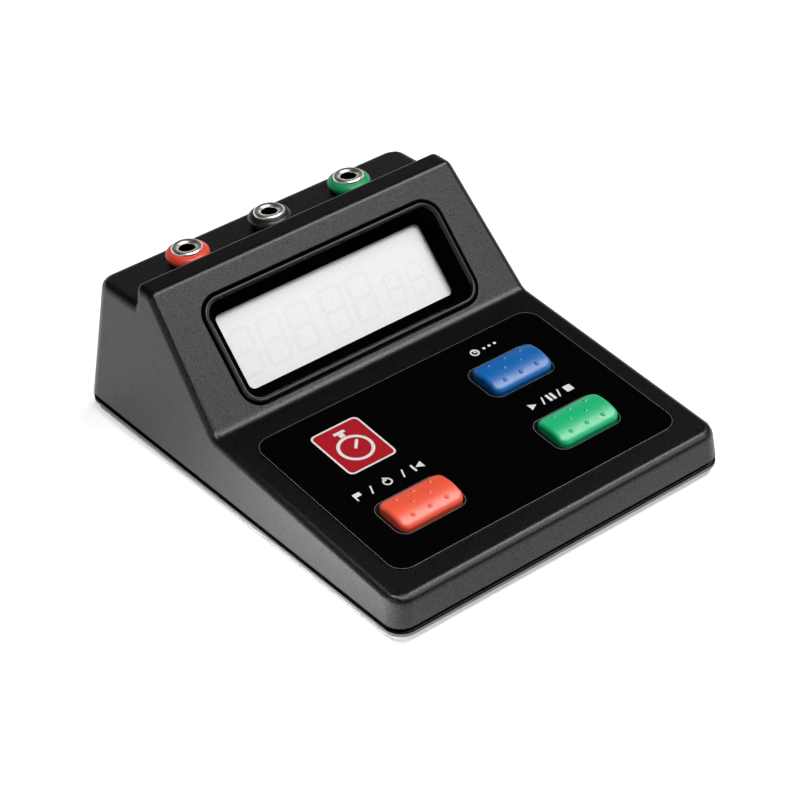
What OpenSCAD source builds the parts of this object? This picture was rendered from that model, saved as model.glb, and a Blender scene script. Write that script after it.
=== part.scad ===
// Bench stopwatch: sloped case with a display, three push keys and three 4 mm sockets.
// Origin under the middle of the case on the surface it stands on; +X right, +Y back, +Z up.

/* [Case] */
// Width of the case along its lower edge
case_w = 100; // [92:1:130]
// Depth of the case along its lower edge
case_d = 127; // [114:1:160]
// Height of the key panel's front edge above the case's lower edge
panel_h = 7.9; // [7.5:0.1:14]
// Slope of the key panel, degrees
panel_slope = 5.1; // [4:0.1:8]
// Slope of the display face, degrees
face_slope = 46.6; // [42:0.2:50]
// Height of the hump above the case's lower edge
hump_h = 41.3; // [40:0.1:50]
// Depth of the hump's flat top
hump_d = 6; // [5:0.5:9]
// Drop from the hump's top to the socket ledge
ledge_drop = 5.9; // [4:0.1:8]
// Fall of the socket ledge towards the back, degrees
ledge_slope = 2; // [0:0.5:4]
// Wall thickness of the case
wall = 2.2; // [1.8:0.1:2.6]
// Radius of the upright corners at the lower edge
corner_r = 4.8; // [4.6:0.1:9]
// Rounding of the edges along the tops of the side walls
edge_r = 2; // [1.2:0.1:2.4]
// Inward lean of the side walls, degrees
side_draft = 5; // [3:0.5:6]
// Inward lean of the front wall, degrees
front_draft = 5; // [2:0.5:8]
// Inward lean of the back wall, degrees
back_draft = 10; // [6:0.5:12]
// Height of the shadow gap between case and base
gap_h = 1.2; // [0.6:0.1:1.6]
// How far the lip in the shadow gap stands back from the outside
lip_in = 1.2; // [0.8:0.1:1.4]

/* [Base] */
// Height of the base tray from its underside to its rim
base_h = 3.1; // [3.1:0.1:5]
// Thickness of the tray's rim
rim_t = 0.9; // [0.7:0.1:1.1]
// How far the tray's wall stands back under the rim
rim_out = 1; // [0.5:0.1:1.4]
// Thickness of the tray's floor
floor_t = 2.2; // [2:0.1:2.6]
// Radius of a rubber foot
foot_r = 4.5; // [3:0.1:6]
// Height of a rubber foot below the tray
foot_h = 1; // [0.6:0.1:3]
// Depth of a foot's seat in the tray
foot_seat = 0.8; // [0.5:0.1:1.2]
// Radius of a case screw's shank
screw_r = 1.4; // [1.2:0.1:1.6]
// Length of a case screw's shank
screw_len = 6.2; // [5:0.1:6.6]

/* [Keys] */
// Length of a key's foot across the panel
key_w = 18.8; // [15:0.1:20]
// Width of a key's foot up the panel
key_d = 11.4; // [9:0.1:13]
// Height of a key's crown above the panel
key_h = 2.65; // [2:0.05:4]
// Radius of a key's crown
crown_r = 12; // [10:0.5:30]
// Gap between a key and its hole
key_gap = 0.35; // [0.3:0.05:0.6]
// Gap between a key and the edge of the panel's sheet
sheet_gap = 0.8; // [0.6:0.1:1.6]
// Travel of a key
key_travel = 0.8; // [0.4:0.1:1]
// Distance from the side of the panel's sheet to the middle of a key
key_side = 19.05; // [14:0.05:24]
// Distance from the panel's front edge to the middle of the front keys
key_front = 23.2; // [22:0.1:26]
// Distance from the crease to the middle of the back key
key_back = 24.2; // [20:0.1:26]
// Radius of a key's pips
pip_r = 0.75; // [0.5:0.05:1]
// Distance between pips along a key
pip_pitch = 5; // [3.5:0.1:5.4]

/* [Display] */
// Distance from the display bezel to the side of the case's lower edge
face_side = 14.05; // [12:0.05:20]
// Height of the display bezel up the face
bezel_h = 28.4; // [26:0.1:29]
// Corner radius of the bezel
bezel_r = 5; // [3:0.1:7]
// Width of the groove round the bezel
bezel_gap = 0.65; // [0.3:0.05:0.8]
// Depth of the window below the display face
funnel_depth = 4.2; // [3.4:0.1:5]
// Width of the bezel beside the visible window
frame_side = 4.35; // [3.4:0.05:6]
// Width of the bezel above and below the visible window
frame_top = 4.15; // [3.4:0.05:6]
// Middle of the display above the crease
display_v = 16.6; // [16:0.1:18.4]

/* [Sockets] */
// Radius of the socket's bore, for a 4 mm plug
bore_r = 2; // [1.5:0.05:2.2]
// Distance between sockets
socket_pitch = 25; // [18:0.5:28]
// Distance from the hump's back wall to the sockets
socket_y = 9.3; // [8:0.1:10]
// Radius of the contact tube's shank
tube_r = 3; // [2.6:0.1:3.2]
// Radius of the contact tube's flange
flange_r = 4.05; // [3.8:0.05:4.4]
// Height of the contact tube above the ledge
tube_top = 3.8; // [3.4:0.1:4.6]
// Length of the contact tube below the ledge
tube_drop = 15; // [10:0.5:16]
// Outer radius of a collar
collar_r = 5.6; // [5:0.1:6.5]
// Height of a collar above the ledge
collar_h = 3; // [2.4:0.1:3.2]

/* [Battery] */
// Diameter of the cell
cell_d = 14.5; // [10:0.1:14.6]
// Length of the cell with its nub
cell_len = 50.5; // [44:0.1:52]

/* [Hidden] */
$fn = 48;
eps = 0.01;

// Heights of the stack from the surface up
tray_z = foot_h;
floor_z = tray_z + floor_t;
rim_z = tray_z + base_h;
case_z = rim_z + gap_h;

// Depth behind the hump that leaves room for the sockets' washers inside the back wall
ledge_h = hump_h - ledge_drop;
washer_t = 1;
washer_gap = 1.23;
washer_lean = (ledge_h - wall - washer_t) * tan(back_draft);
ledge_d = socket_y + collar_r + washer_gap + wall / cos(back_draft) + washer_lean;

// Lines of the side profile: [y, z] from the front of the lower edge
hump_back_y = case_d - ledge_d;
hump_front_y = hump_back_y - hump_d;
face_foot_y = hump_front_y - (hump_h - panel_h) / tan(face_slope);
crease_y = face_foot_y / (1 - tan(panel_slope) / tan(face_slope));
crease_z = panel_h + crease_y * tan(panel_slope);
hump_draft = 4;
front_edge_r = 2.4;
crease_r = 4;
hump_front_r = 2.2;
hump_back_r = 0.9;
ledge_foot_r = 1.2;
least_r = 0.4;
arc_steps = 8;
inner_steps = 2;
edge_steps = 6;
corner_steps = 4;

// Lip of the case in the shadow gap, the groove it stands in and the tray's tongue inside it
lip_t = 1.3;
fin_t = 0.4;
groove_z = rim_z - rim_t / 2;
lip_root = 0.4;
tongue_gap = 0.35;
tongue_in = lip_in + lip_t + tongue_gap;
tongue_t = 1.5;
tongue_h = 1;

// Places of the case screws and feet, from the front left corner
boss_side = 8.5;
boss_x = case_w / 2 - boss_side;
boss_front_y = 9.5;
boss_back_in = 13;
boss_back_y = case_d - boss_back_in;
boss_r = 3.2;
boss_rib_t = 1.4;
pilot_gap = 0.05;
pilot_end = 0.3;
seat_z = 7;
head_r = 2.8;
head_h = 2;
head_sunk = 1.4;
head_z = tray_z + head_h + head_sunk;
head_gap = 0.4;
tray_boss_t = 1;
tray_boss_r = head_r + head_gap + tray_boss_t;
foot_side = 10;
foot_x = case_w / 2 - foot_side;
foot_between = 4;
foot_apart = foot_r + tray_boss_r + foot_between;
foot_front_y = boss_front_y + foot_apart;
foot_back_y = boss_back_y - foot_apart;
foot_gap = 0.1;
foot_soft = 0.4;

// Printed sheet on the panel
overlay_side = 6.95;
overlay_front = 7.95;
overlay_back = 7.6;
overlay_r = 4.5;
overlay_t = 0.35;
panel_len = crease_y / cos(panel_slope);
overlay_len = panel_len - overlay_front - overlay_back;

// Keys and what lies under them, as depths below the panel
key_x = case_w / 2 - overlay_side - key_side;
back_key_y = panel_len - key_back;
key_places = [["blue", key_x, back_key_y], ["green", key_x, key_front], ["red", -key_x, key_front]];
key_r = 3.1;
key_lean = 0.5;
key_foot = -0.3;
key_edge_r = 1.6;
key_flange = 1.2;
key_flange_t = 1;
key_rest_gap = 0.3;
key_flange_z = wall + key_rest_gap + key_flange_t;
key_stem = 0.4;
key_stem_r = 2.2;
plunger_z = key_flange_z + key_stem;
plunger_r = 1.75;
plunger_len = 2.2;
plunger_gap = 0.1;
switch_clear = 0.3;
switch_top = plunger_z + key_travel + switch_clear;
switch_w = 6;
switch_t = 3.2;
board_t = 1.6;
board_r = 1.5;
switch_board_z = switch_top + switch_t;
board_side = 8.4;
board_front = 9;
board_back = 10;
switch_board_w = 2 * (key_x + board_side) + key_w;
switch_board_front = key_front - board_front;
switch_board_back = back_key_y + board_back;
post_r = 2.5;
post_edge = 1.2;
post_in = 4;
post_x = switch_board_w / 2 - post_r - post_edge;
post_front_y = switch_board_front + post_in;
post_back_y = switch_board_back - post_in;
pip_rows = 3.1;
pip_sunk = 0.45;
key_ring_steps = 6;
key_round_steps = 4;

// Beeper on the tray's floor between the keys
sounder_y = (key_front + back_key_y) / 2;
sounder_r = 10;
sounder_seat_h = 1.2;
sounder_seat_t = 1.4;
sounder_hole_r = 0.8;
sounder_ring_r = 4.5;
disc_t = 0.3;
ceramic_r = 7;
ceramic_t = 0.2;

// Display stack, as depths below the display face
bezel_w = case_w - 2 * face_side;
window_w = bezel_w - 2 * frame_side;
window_h = bezel_h - 2 * frame_top;
bezel_proud = 0.25;
bezel_rim = 0.9;
bezel_flange = 1.6;
bezel_flange_t = 1.2;
bezel_back = 0.6;
bezel_depth = funnel_depth + bezel_back;
window_r = 1.6;
pane_r = 4;
pane_t = 1;
glass_t = 1.1;
glass_side = 3.4;
glass_w = window_w + 2 * glass_side;
glass_d = window_h + 2 * glass_side;
glass_ledge = 2.2;
zebra_w = 1.9;
zebra_h = 4.1;
glass_z = bezel_depth + pane_t;
zebra_z = glass_z + glass_t;
display_board_z = zebra_z + zebra_h;
face_post_gap = 0.4;
face_post_x = bezel_w / 2 + bezel_gap + bezel_flange + face_post_gap + post_r;
face_post_v = 11.5;
display_board_w = 2 * (face_post_x + post_r);
display_board_edge = 1;
display_board_h = 2 * (face_post_v + post_r + display_board_edge);
drop_r = 7;
drop_h = 1.8;
can_r = 1;
can_len = 6;
can_x = 16;
cable_w = 14;
cable_t = 0.6;
cable_inset = 0.5;
cable_landing = 5;
cable_end = 1;

// Small screws of both boards
board_screw_r = 0.85;
board_screw_len = 5;
board_head_r = 1.8;
board_head_h = 1.3;
head_soft = 0.5;

// Sockets, as heights above the ledge
shank_gap = 0.1;
collar_shank_in = 0.1;
collar_shank_r = flange_r - collar_shank_in;
flange_h = tube_top - collar_h;
mouth_chamfer = 0.35;
bore_end = 1;
tag_t = 0.4;
nut_h = 2.4;
nut_flats = 10;
tag_w = 5;
tag_len = 12;
tag_hole_r = 0.9;
tag_hole_in = 2;
tube_soft = 0.25;
ledge_places = [["red", -socket_pitch], ["black", 0], ["green", socket_pitch]];

// Battery bay in the tray, from the front of the case
bay_gap = 0.6;
bay_wall = 1.6;
bay_roof = 1.6;
spring_room = 6.6;
contact_t = 0.4;
contact_w = 10;
contact_h = 12;
wire_r = 0.4;
coil_turns = 4;
coil_steps = 12;
wire_sides = 6;
coil_wide_r = 5;
coil_narrow_r = 2.6;
nub_r = 2.7;
nub_h = 1;
cell_groove_r = 0.6;
bay_len = cell_len + spring_room + 2 * contact_t;
cell_left = contact_t + spring_room - bay_len / 2;
bay_w = cell_d + 2 * bay_gap;
bay_back_room = 6.6;
bay_y = case_d - bay_back_room - bay_wall - bay_w / 2;
door_t = 1.6;
door_gap = 0.3;
rail_in = 1.3;
rail_t = 0.9;
rail_cover = 1.5;
door_lip_t = 1.8;
grip_r = 0.4;
grip_w = 14;
grip_pitch = 2;
cell_z = tray_z + door_t + door_gap + cell_d / 2;
bay_top = cell_z + cell_d / 2 + bay_gap;
door_w = bay_len;
rail_z = tray_z + door_t - rail_t;
door_front = bay_y - bay_w / 2 + door_gap;
door_back = case_d - rim_out;

// Unit vector along v
function unit(v) = v / norm(v);

// Crossing point of two lines, each a point and a direction
function meet(p, d, q, e) =
    p + d * ((q.x - p.x) * e.y - (q.y - p.y) * e.x) / (d.x * e.y - d.y * e.x);

// Points of the arc of radius r that rounds corner b between its neighbours a and c
function round_corner(a, b, c, r, steps) =
    let (
        u = unit(a - b),
        v = unit(c - b),
        half = acos(u * v) / 2,
        centre = b + unit(u + v) * r / sin(half),
        start = b + u * r / tan(half) - centre,
        turn = (180 - 2 * half) * sign(u.y * v.x - u.x * v.y),
        from = atan2(start.y, start.x)
    )
    [for (k = [0:steps]) let (angle = from + turn * k / steps) centre + r * [cos(angle), sin(angle)]];

// Side profile of the case with its end walls moved in by ends and its tops lowered by tops.
// Convex corners lose the inset of the wall from their radius and hollow corners gain it.
function side_profile(ends, tops, inset, steps) =
    let (
        front = [tan(front_draft), 1],
        panel = [cos(panel_slope), sin(panel_slope)],
        face = [cos(face_slope), sin(face_slope)],
        drop = [tan(hump_draft), -1],
        ledge = [cos(ledge_slope), -sin(ledge_slope)],
        back = [-tan(back_draft), 1],
        front_at = [ends / cos(front_draft), 0],
        panel_at = [0, panel_h - tops / cos(panel_slope)],
        face_at = [crease_y + tops / sin(face_slope), crease_z],
        top_at = [0, hump_h - tops],
        drop_at = [hump_back_y - tops / cos(hump_draft), hump_h],
        ledge_at = [hump_back_y, ledge_h - tops / cos(ledge_slope)],
        back_at = [case_d - ends / cos(back_draft), 0],
        corners = [
            front_at,
            meet(front_at, front, panel_at, panel),
            meet(panel_at, panel, face_at, face),
            meet(face_at, face, top_at, [1, 0]),
            meet(top_at, [1, 0], drop_at, drop),
            meet(drop_at, drop, ledge_at, ledge),
            meet(ledge_at, ledge, back_at, back),
            back_at],
        radii = [
            max(front_edge_r - inset, least_r),
            crease_r + inset,
            max(hump_front_r - inset, least_r),
            max(hump_back_r - inset, least_r),
            ledge_foot_r + inset,
            max(front_edge_r - inset, least_r)]
    )
    [
        front_at,
        each [for (k = [1:len(radii)])
            each round_corner(corners[k - 1], corners[k], corners[k + 1], radii[k - 1], steps)],
        back_at
    ];

// One slice of the case at distance s inside its side wall, on side -1 or 1
function case_slice(side, s, inset, steps) =
    let (
        corner = corner_r - inset,
        edge = max(edge_r - inset, least_r),
        ends = inset + (s < corner ? corner - sqrt(corner ^ 2 - (corner - s) ^ 2) : 0),
        tops = inset + (s < edge ? edge - sqrt(edge ^ 2 - (edge - s) ^ 2) : 0),
        half = case_w / 2 - inset / cos(side_draft)
    )
    [for (p = side_profile(ends, tops, inset, steps)) [side * (half - s - p.y * tan(side_draft)), p.x, p.y]];

// Slices of the case from its left side to its right, close together where its edges round off
function case_slices(inset, steps) =
    let (
        corner = corner_r - inset,
        edge = max(edge_r - inset, least_r),
        depths = concat(
            [for (k = [0:edge_steps]) edge * (1 - cos(90 * k / edge_steps))],
            [for (k = [1:corner_steps]) edge + (corner - edge) * k / corner_steps]),
        last = len(depths) - 1
    )
    concat(
        [for (k = [0:last]) case_slice(-1, depths[k], inset, steps)],
        [for (k = [last:-1:0]) case_slice(1, depths[k], inset, steps)]);

// Triangles between m rings of n points each, from point index first on.
// Open rings leave the edge from their last point to their first one free.
function ring_sides(first, n, m, open) =
    [for (j = [0:m - 2], i = [0:n - (open ? 2 : 1)])
        let (a = first + j * n + i, b = first + j * n + (i + 1) % n)
        each [[a, b, b + n], [a, b + n, a + n]]];

// Faces turned inside out
function flipped(faces) =
    [for (face = faces) [for (k = [len(face) - 1:-1:0]) face[k]]];

// Closed skin through rings of equal counts of points; a crowned last ring is closed by strips
module skin(rings, crowned = false) {
    n = len(rings[0]);
    m = len(rings);
    top = (m - 1) * n;
    strips = [
        for (i = [0:n / 2 - 2])
            let (a = top + i, b = top + i + 1, c = top + n - 2 - i, d = top + n - 1 - i)
            each [[a, b, c], [a, c, d]]];
    lid = crowned ? strips : [[for (i = [0:n - 1]) top + i]];
    foot = [[for (i = [n - 1:-1:0]) i]];
    polyhedron([for (ring = rings) each ring], concat(ring_sides(0, n, m, false), foot, lid));
}

// Point in the plane of an end slice from which its whole outline can be seen
function hub(slice) =
    let (y = (crease_y + hump_back_y) / 2, z = panel_h)
    [slice[0].x + (slice[1].x - slice[0].x) * z / slice[1].z, y, z];

// Triangles from the hub at index centre round an outline of n points
function fan(centre, first, n) =
    [for (i = [0:n - 1]) [centre, first + i, first + (i + 1) % n]];

// Shell between outer and inner slices of the case, open below
module shell(outer, inner) {
    n = len(outer[0]);
    k = len(inner[0]);
    m = len(outer);
    base = n * m;
    hubs = base + k * m;
    out_last = base - n;
    in_last = hubs - k;
    walls = concat(
        ring_sides(0, n, m, true),
        flipped(ring_sides(base, k, m, true)));
    ends = concat(
        flipped(fan(hubs, 0, n)),
        fan(hubs + 1, out_last, n),
        fan(hubs + 2, base, k),
        flipped(fan(hubs + 3, in_last, k)));
    rims = [
        for (j = [0:m - 2])
            let (a = j * n, b = base + j * k, c = a + n - 1, d = b + k - 1)
            each [[a, a + n, b + k], [a, b + k, b], [c, d, d + k], [c, d + k, c + n]]];
    rim_ends = [
        [0, base, base + k - 1],
        [0, base + k - 1, n - 1],
        [out_last, in_last + k - 1, in_last],
        [out_last, out_last + n - 1, in_last + k - 1]];
    points = concat(
        [for (ring = concat(outer, inner)) each ring],
        [hub(outer[0]), hub(outer[m - 1]), hub(inner[0]), hub(inner[m - 1])]);
    polyhedron(points, concat(walls, ends, rims, rim_ends));
}

// Frames of the case, its panel, its display face and its ledge
module in_case() {
    translate([0, -case_d / 2, case_z]) children();
}

module on_panel() {
    in_case() translate([0, 0, panel_h]) rotate([panel_slope, 0, 0]) children();
}

module on_face() {
    in_case() translate([0, crease_y, crease_z]) rotate([face_slope, 0, 0])
        translate([0, display_v, 0]) children();
}

module on_ledge() {
    in_case() translate([0, hump_back_y, ledge_h]) rotate([-ledge_slope, 0, 0])
        translate([0, socket_y, 0]) children();
}

module from_front() {
    translate([0, -case_d / 2, 0]) children();
}

// Flat rectangle with round corners
module rounded(w, d, r) {
    square([w - 2 * r, d], center = true);
    square([w, d - 2 * r], center = true);
    for (x = [-1, 1], y = [-1, 1])
        translate([x * (w / 2 - r), y * (d / 2 - r)]) circle(r);
}

// Plate with round corners between two heights
module plate(w, d, r, low, high) {
    translate([0, 0, low]) linear_extrude(high - low) rounded(w, d, r);
}

// Footprint plate of the case, moved in by inset, between two heights above the surface
module footprint(inset, low, high) {
    plate(case_w - 2 * inset, case_d - 2 * inset, corner_r - inset, low, high);
}

// Points of a rounded rectangle, clockwise from above
function rounded_ring(w, d, r, n) =
    [for (c = [[1, 1, 90], [1, -1, 0], [-1, -1, -90], [-1, 1, -180]], k = [0:n])
        let (a = c[2] - 90 * k / n)
        [c.x * (w / 2 - r) + r * cos(a), c.y * (d / 2 - r) + r * sin(a)]];

// The four case screw places and the four foot places
module at_screws() {
    for (x = [-boss_x, boss_x], y = [boss_front_y, boss_back_y])
        from_front() translate([x, y, 0]) children();
}

module at_feet() {
    for (x = [-foot_x, foot_x], y = [foot_front_y, foot_back_y])
        from_front() translate([x, y, 0]) children();
}

// The four screw places of the key panel's board and of the display's board
module at_panel_posts() {
    for (x = [-post_x, post_x], y = [post_front_y, post_back_y])
        on_panel() translate([x, y, 0]) children();
}

module at_face_posts() {
    for (x = [-face_post_x, face_post_x], v = [-face_post_v, face_post_v])
        on_face() translate([x, v, 0]) children();
}

// Boss for a case screw on side -1 or 1, ribbed to the side wall and reaching up into the wall at height top
module screw_boss(side, y, top) {
    wall_x = case_w / 2 - wall / 2;
    low = seat_z - case_z;
    in_case() {
        translate([side * boss_x, y, low]) cylinder(r = boss_r, h = top - low);
        translate([0, y + boss_rib_t / 2, 0]) rotate([90, 0, 0]) linear_extrude(boss_rib_t)
            polygon([
                [side * boss_x, low],
                [side * (wall_x - low * tan(side_draft)), low],
                [side * (wall_x - top * tan(side_draft)), top],
                [side * boss_x, top]]);
    }
}

// Black moulded upper case
module top_case() {
    front_top = panel_h + boss_front_y * tan(panel_slope) - wall / 2;
    back_top = ledge_h - (boss_back_y - hump_back_y) * tan(ledge_slope) - wall / 2;
    color("#1c1d1f") difference() {
        union() {
            in_case() shell(case_slices(0, arc_steps), case_slices(wall, inner_steps));
            difference() {
                footprint(lip_in, groove_z, case_z + lip_root);
                footprint(lip_in + lip_t, groove_z - 1, case_z + 1);
            }
            for (side = [-1, 1]) {
                screw_boss(side, boss_front_y, front_top);
                screw_boss(side, boss_back_y, back_top);
            }
            at_panel_posts() board_post(switch_board_z);
            at_face_posts() board_post(display_board_z);
        }
        key_holes(key_gap, -2 * wall, wall);
        on_face()
            plate(bezel_w + 2 * bezel_gap, bezel_h + 2 * bezel_gap, bezel_r + bezel_gap, -2 * wall, wall);
        for (place = ledge_places)
            on_ledge() translate([place[1], 0, -2 * wall])
                cylinder(r = collar_shank_r + shank_gap, h = 3 * wall);
        at_screws() translate([0, 0, head_z])
            cylinder(r = screw_r + pilot_gap, h = screw_len + pilot_end);
        at_panel_posts() board_pilot(switch_board_z);
        at_face_posts() board_pilot(display_board_z);
    }
}

// Post for a board at the given depth below a wall, and the pilot hole for its screw
module board_post(depth) {
    translate([0, 0, -depth]) cylinder(r = post_r, h = depth - wall / 2);
}

module board_pilot(depth) {
    translate([0, 0, -depth - board_t])
        cylinder(r = board_screw_r + pilot_gap, h = board_screw_len + pilot_end);
}

// Holes a gap larger than the three keys between two heights above the panel
module key_holes(gap, low, high) {
    for (key = key_places)
        on_panel() translate([key[1], key[2], 0])
            plate(key_w + 2 * gap, key_d + 2 * gap, key_r + gap, low, high);
}

// Space that the battery door and its rails take out of the tray
module door_slot() {
    high = rim_z - rim_t;
    from_front() {
        translate([-door_w / 2 - door_gap, door_front - door_gap, tray_z - 1])
            cube([door_w + 2 * door_gap, case_d, high - tray_z + 1]);
        translate([-door_w / 2 - rail_in - door_gap, door_front - door_gap, rail_z - door_gap])
            cube([door_w + 2 * (rail_in + door_gap), case_d, rail_t + 2 * door_gap]);
    }
}

// Light grey tray that closes the case below
module base_tray() {
    bay_outer_w = bay_w + 2 * bay_wall;
    bay_outer_len = bay_len + 2 * bay_wall;
    bay_front = bay_y - bay_outer_w / 2;
    rail_w = door_w + 2 * (rail_in + door_gap + bay_wall);
    color("#b9b8b2") difference() {
        union() {
            difference() {
                union() {
                    footprint(rim_out, tray_z, rim_z - rim_t + eps);
                    footprint(0, rim_z - rim_t, rim_z);
                    footprint(tongue_in, rim_z - eps, case_z + tongue_h);
                }
                footprint(tongue_in + tongue_t, floor_z, case_z + tongue_h + 1);
                difference() {
                    footprint(fin_t, groove_z, rim_z + 1);
                    footprint(tongue_in, groove_z - 1, rim_z + 2);
                }
            }
            at_screws() translate([0, 0, tray_z]) cylinder(r = tray_boss_r, h = seat_z - tray_z);
            from_front() {
                translate([-bay_outer_len / 2, bay_front, tray_z])
                    cube([bay_outer_len, bay_outer_w, bay_top + bay_roof - tray_z]);
                translate([-rail_w / 2, bay_front, tray_z])
                    cube([rail_w, case_d - tongue_in - bay_front, floor_t + rail_cover]);
                translate([0, sounder_y, floor_z - eps]) sounder_seat();
            }
        }
        at_screws() {
            translate([0, 0, tray_z - 1]) cylinder(r = head_r + head_gap, h = head_z - tray_z + 1);
            cylinder(r = screw_r + head_gap, h = seat_z + 1);
        }
        at_feet() translate([0, 0, tray_z - 1]) cylinder(r = foot_r + foot_gap, h = foot_seat + 1);
        from_front() translate([-bay_len / 2, bay_y - bay_w / 2, tray_z - 1])
            cube([bay_len, bay_w, bay_top - tray_z + 1]);
        door_slot();
        from_front() translate([0, sounder_y, tray_z - 1]) sounder_holes();
    }
}

// Ring that carries the beeper disc, and the holes that let its sound out
module sounder_seat() {
    difference() {
        cylinder(r = sounder_r, h = sounder_seat_h + eps);
        translate([0, 0, -1]) cylinder(r = sounder_r - sounder_seat_t, h = sounder_seat_h + 2);
    }
}

module sounder_holes() {
    cylinder(r = sounder_hole_r, h = floor_t + 2);
    for (k = [0:5])
        rotate([0, 0, 60 * k]) translate([sounder_ring_r, 0, 0])
            cylinder(r = sounder_hole_r, h = floor_t + 2);
}

// Beeper: brass disc with a smaller ceramic disc on it
module sounder_disc() {
    color("#c9a44a") from_front() translate([0, sounder_y, floor_z + sounder_seat_h]) {
        cylinder(r = sounder_r, h = disc_t);
        cylinder(r = ceramic_r, h = disc_t + ceramic_t);
    }
}

// Pan head screw with its shank up from the underside of its head
module pan_screw(shank_r, shank_len, head_radius, head_height) {
    cylinder(r = shank_r, h = shank_len);
    rotate_extrude() difference() {
        translate([0, -head_height]) square([head_radius, head_height]);
        translate([head_radius - head_soft, -head_height]) difference() {
            square([2 * head_soft, head_soft]);
            translate([0, head_soft]) circle(head_soft);
        }
    }
}

module case_screws() {
    color("#8d9094") at_screws() translate([0, 0, head_z]) pan_screw(screw_r, screw_len, head_r, head_h);
}

module board_screws() {
    color("#8d9094") {
        at_panel_posts() translate([0, 0, -switch_board_z - board_t])
            pan_screw(board_screw_r, board_screw_len, board_head_r, board_head_h);
        at_face_posts() translate([0, 0, -display_board_z - board_t])
            pan_screw(board_screw_r, board_screw_len, board_head_r, board_head_h);
    }
}

// Round feet with a softened lower edge
module rubber_feet() {
    color("#2a2a2a") at_feet() rotate_extrude() {
        square([foot_r - foot_soft, foot_h + foot_seat]);
        translate([0, foot_soft]) square([foot_r, foot_h + foot_seat - foot_soft]);
        translate([foot_r - foot_soft, foot_soft]) circle(foot_soft);
    }
}

// Glossy sheet with a hole for each key
module panel_overlay() {
    color("#060607") difference() {
        on_panel() translate([0, overlay_front + overlay_len / 2, 0])
            plate(case_w - 2 * overlay_side, overlay_len, overlay_r, 0, overlay_t);
        key_holes(sheet_gap, -wall, wall);
    }
}

// Crowned key with pips, an ear below the panel at each end and a stem for its switch
module key(place) {
    low = -wall - key_rest_gap - eps;
    function crown_drop(y) = y ^ 2 / (2 * crown_r);
    function key_ring(inset, z, crown) =
        [for (p = rounded_ring(key_w - 2 * inset, key_d - 2 * inset, key_r - inset, key_ring_steps))
            [p.x, p.y, z - crown * crown_drop(p.y)]];
    rings = concat(
        [key_ring(0, low, 0), key_ring(0, key_foot, 0)],
        [for (k = [0:key_round_steps])
            let (a = 90 * k / key_round_steps)
            key_ring(key_lean + key_edge_r * (1 - cos(a)), key_h - key_edge_r * (1 - sin(a)), 1)]);
    on_panel() translate([place[1], place[2], 0]) {
        skin(rings, true);
        plate(key_w + 2 * key_flange, key_d, key_r, -key_flange_z, -key_flange_z + key_flange_t);
        translate([0, 0, -plunger_z]) cylinder(r = key_stem_r, h = key_stem + eps);
        for (row = [-1, 0, 1], x = row == 0 ? [-0.5, 0.5] : [-1, 0, 1])
            translate([x * pip_pitch, row * pip_rows, key_h - crown_drop(row * pip_rows) - pip_sunk])
                sphere(pip_r);
    }
}

module blue_button() {
    color("#1457b8") key(key_places[0]);
}

module green_button() {
    color("#0d9a4a") key(key_places[1]);
}

module red_button() {
    color("#f0492f") key(key_places[2]);
}

// Switch housing on the board, bored for its plunger
module key_switch(place) {
    color("#3a3c40") on_panel() translate([place[1], place[2], 0]) difference() {
        translate([-switch_w / 2, -switch_w / 2, -switch_board_z]) cube([switch_w, switch_w, switch_t]);
        translate([0, 0, -plunger_z - plunger_len - key_travel - switch_clear])
            cylinder(r = plunger_r + plunger_gap, h = switch_board_z);
    }
}

module blue_switch() {
    key_switch(key_places[0]);
}

module green_switch() {
    key_switch(key_places[1]);
}

module red_switch() {
    key_switch(key_places[2]);
}

// Plunger that the key's stem rests on
module key_plunger(place) {
    color("#d8d4c8") on_panel() translate([place[1], place[2], -plunger_z - plunger_len])
        cylinder(r = plunger_r, h = plunger_len);
}

module blue_plunger() {
    key_plunger(key_places[0]);
}

module green_plunger() {
    key_plunger(key_places[1]);
}

module red_plunger() {
    key_plunger(key_places[2]);
}

// Board under the key panel
module switch_board() {
    board_d = switch_board_back - switch_board_front;
    color("#1f6b3a") difference() {
        on_panel() translate([0, (switch_board_front + switch_board_back) / 2, 0])
            plate(switch_board_w, board_d, board_r, -switch_board_z - board_t, -switch_board_z);
        at_panel_posts() translate([0, 0, -board_t]) board_pilot(switch_board_z);
    }
}

// Board behind the display
module display_board() {
    color("#1f6b3a") difference() {
        on_face()
            plate(display_board_w, display_board_h, board_r, -display_board_z - board_t, -display_board_z);
        at_face_posts() translate([0, 0, -board_t]) board_pilot(display_board_z);
    }
}

// Bezel: straight outside, sloped inside down to the window, and a flange behind the face
module display_bezel() {
    skirt = 2 * (bezel_gap + bezel_flange);
    color("#0b0b0c") on_face() difference() {
        union() {
            plate(bezel_w, bezel_h, bezel_r, -bezel_depth, bezel_proud);
            plate(bezel_w + skirt, bezel_h + skirt, bezel_r + skirt / 2, -wall - bezel_flange_t, -wall);
        }
        hull() {
            plate(bezel_w - 2 * bezel_rim, bezel_h - 2 * bezel_rim, bezel_r - bezel_rim,
                bezel_proud, bezel_proud + eps, $fn = 32);
            plate(window_w, window_h, window_r, -funnel_depth, -funnel_depth + eps, $fn = 32);
        }
        plate(window_w, window_h, window_r, -bezel_depth - 1, -funnel_depth + eps);
    }
}

// Clear pane behind the bezel
module display_window() {
    color("#dfe6e8", 0.4) on_face()
        plate(glass_w, glass_d, pane_r, -glass_z, -bezel_depth);
}

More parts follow.
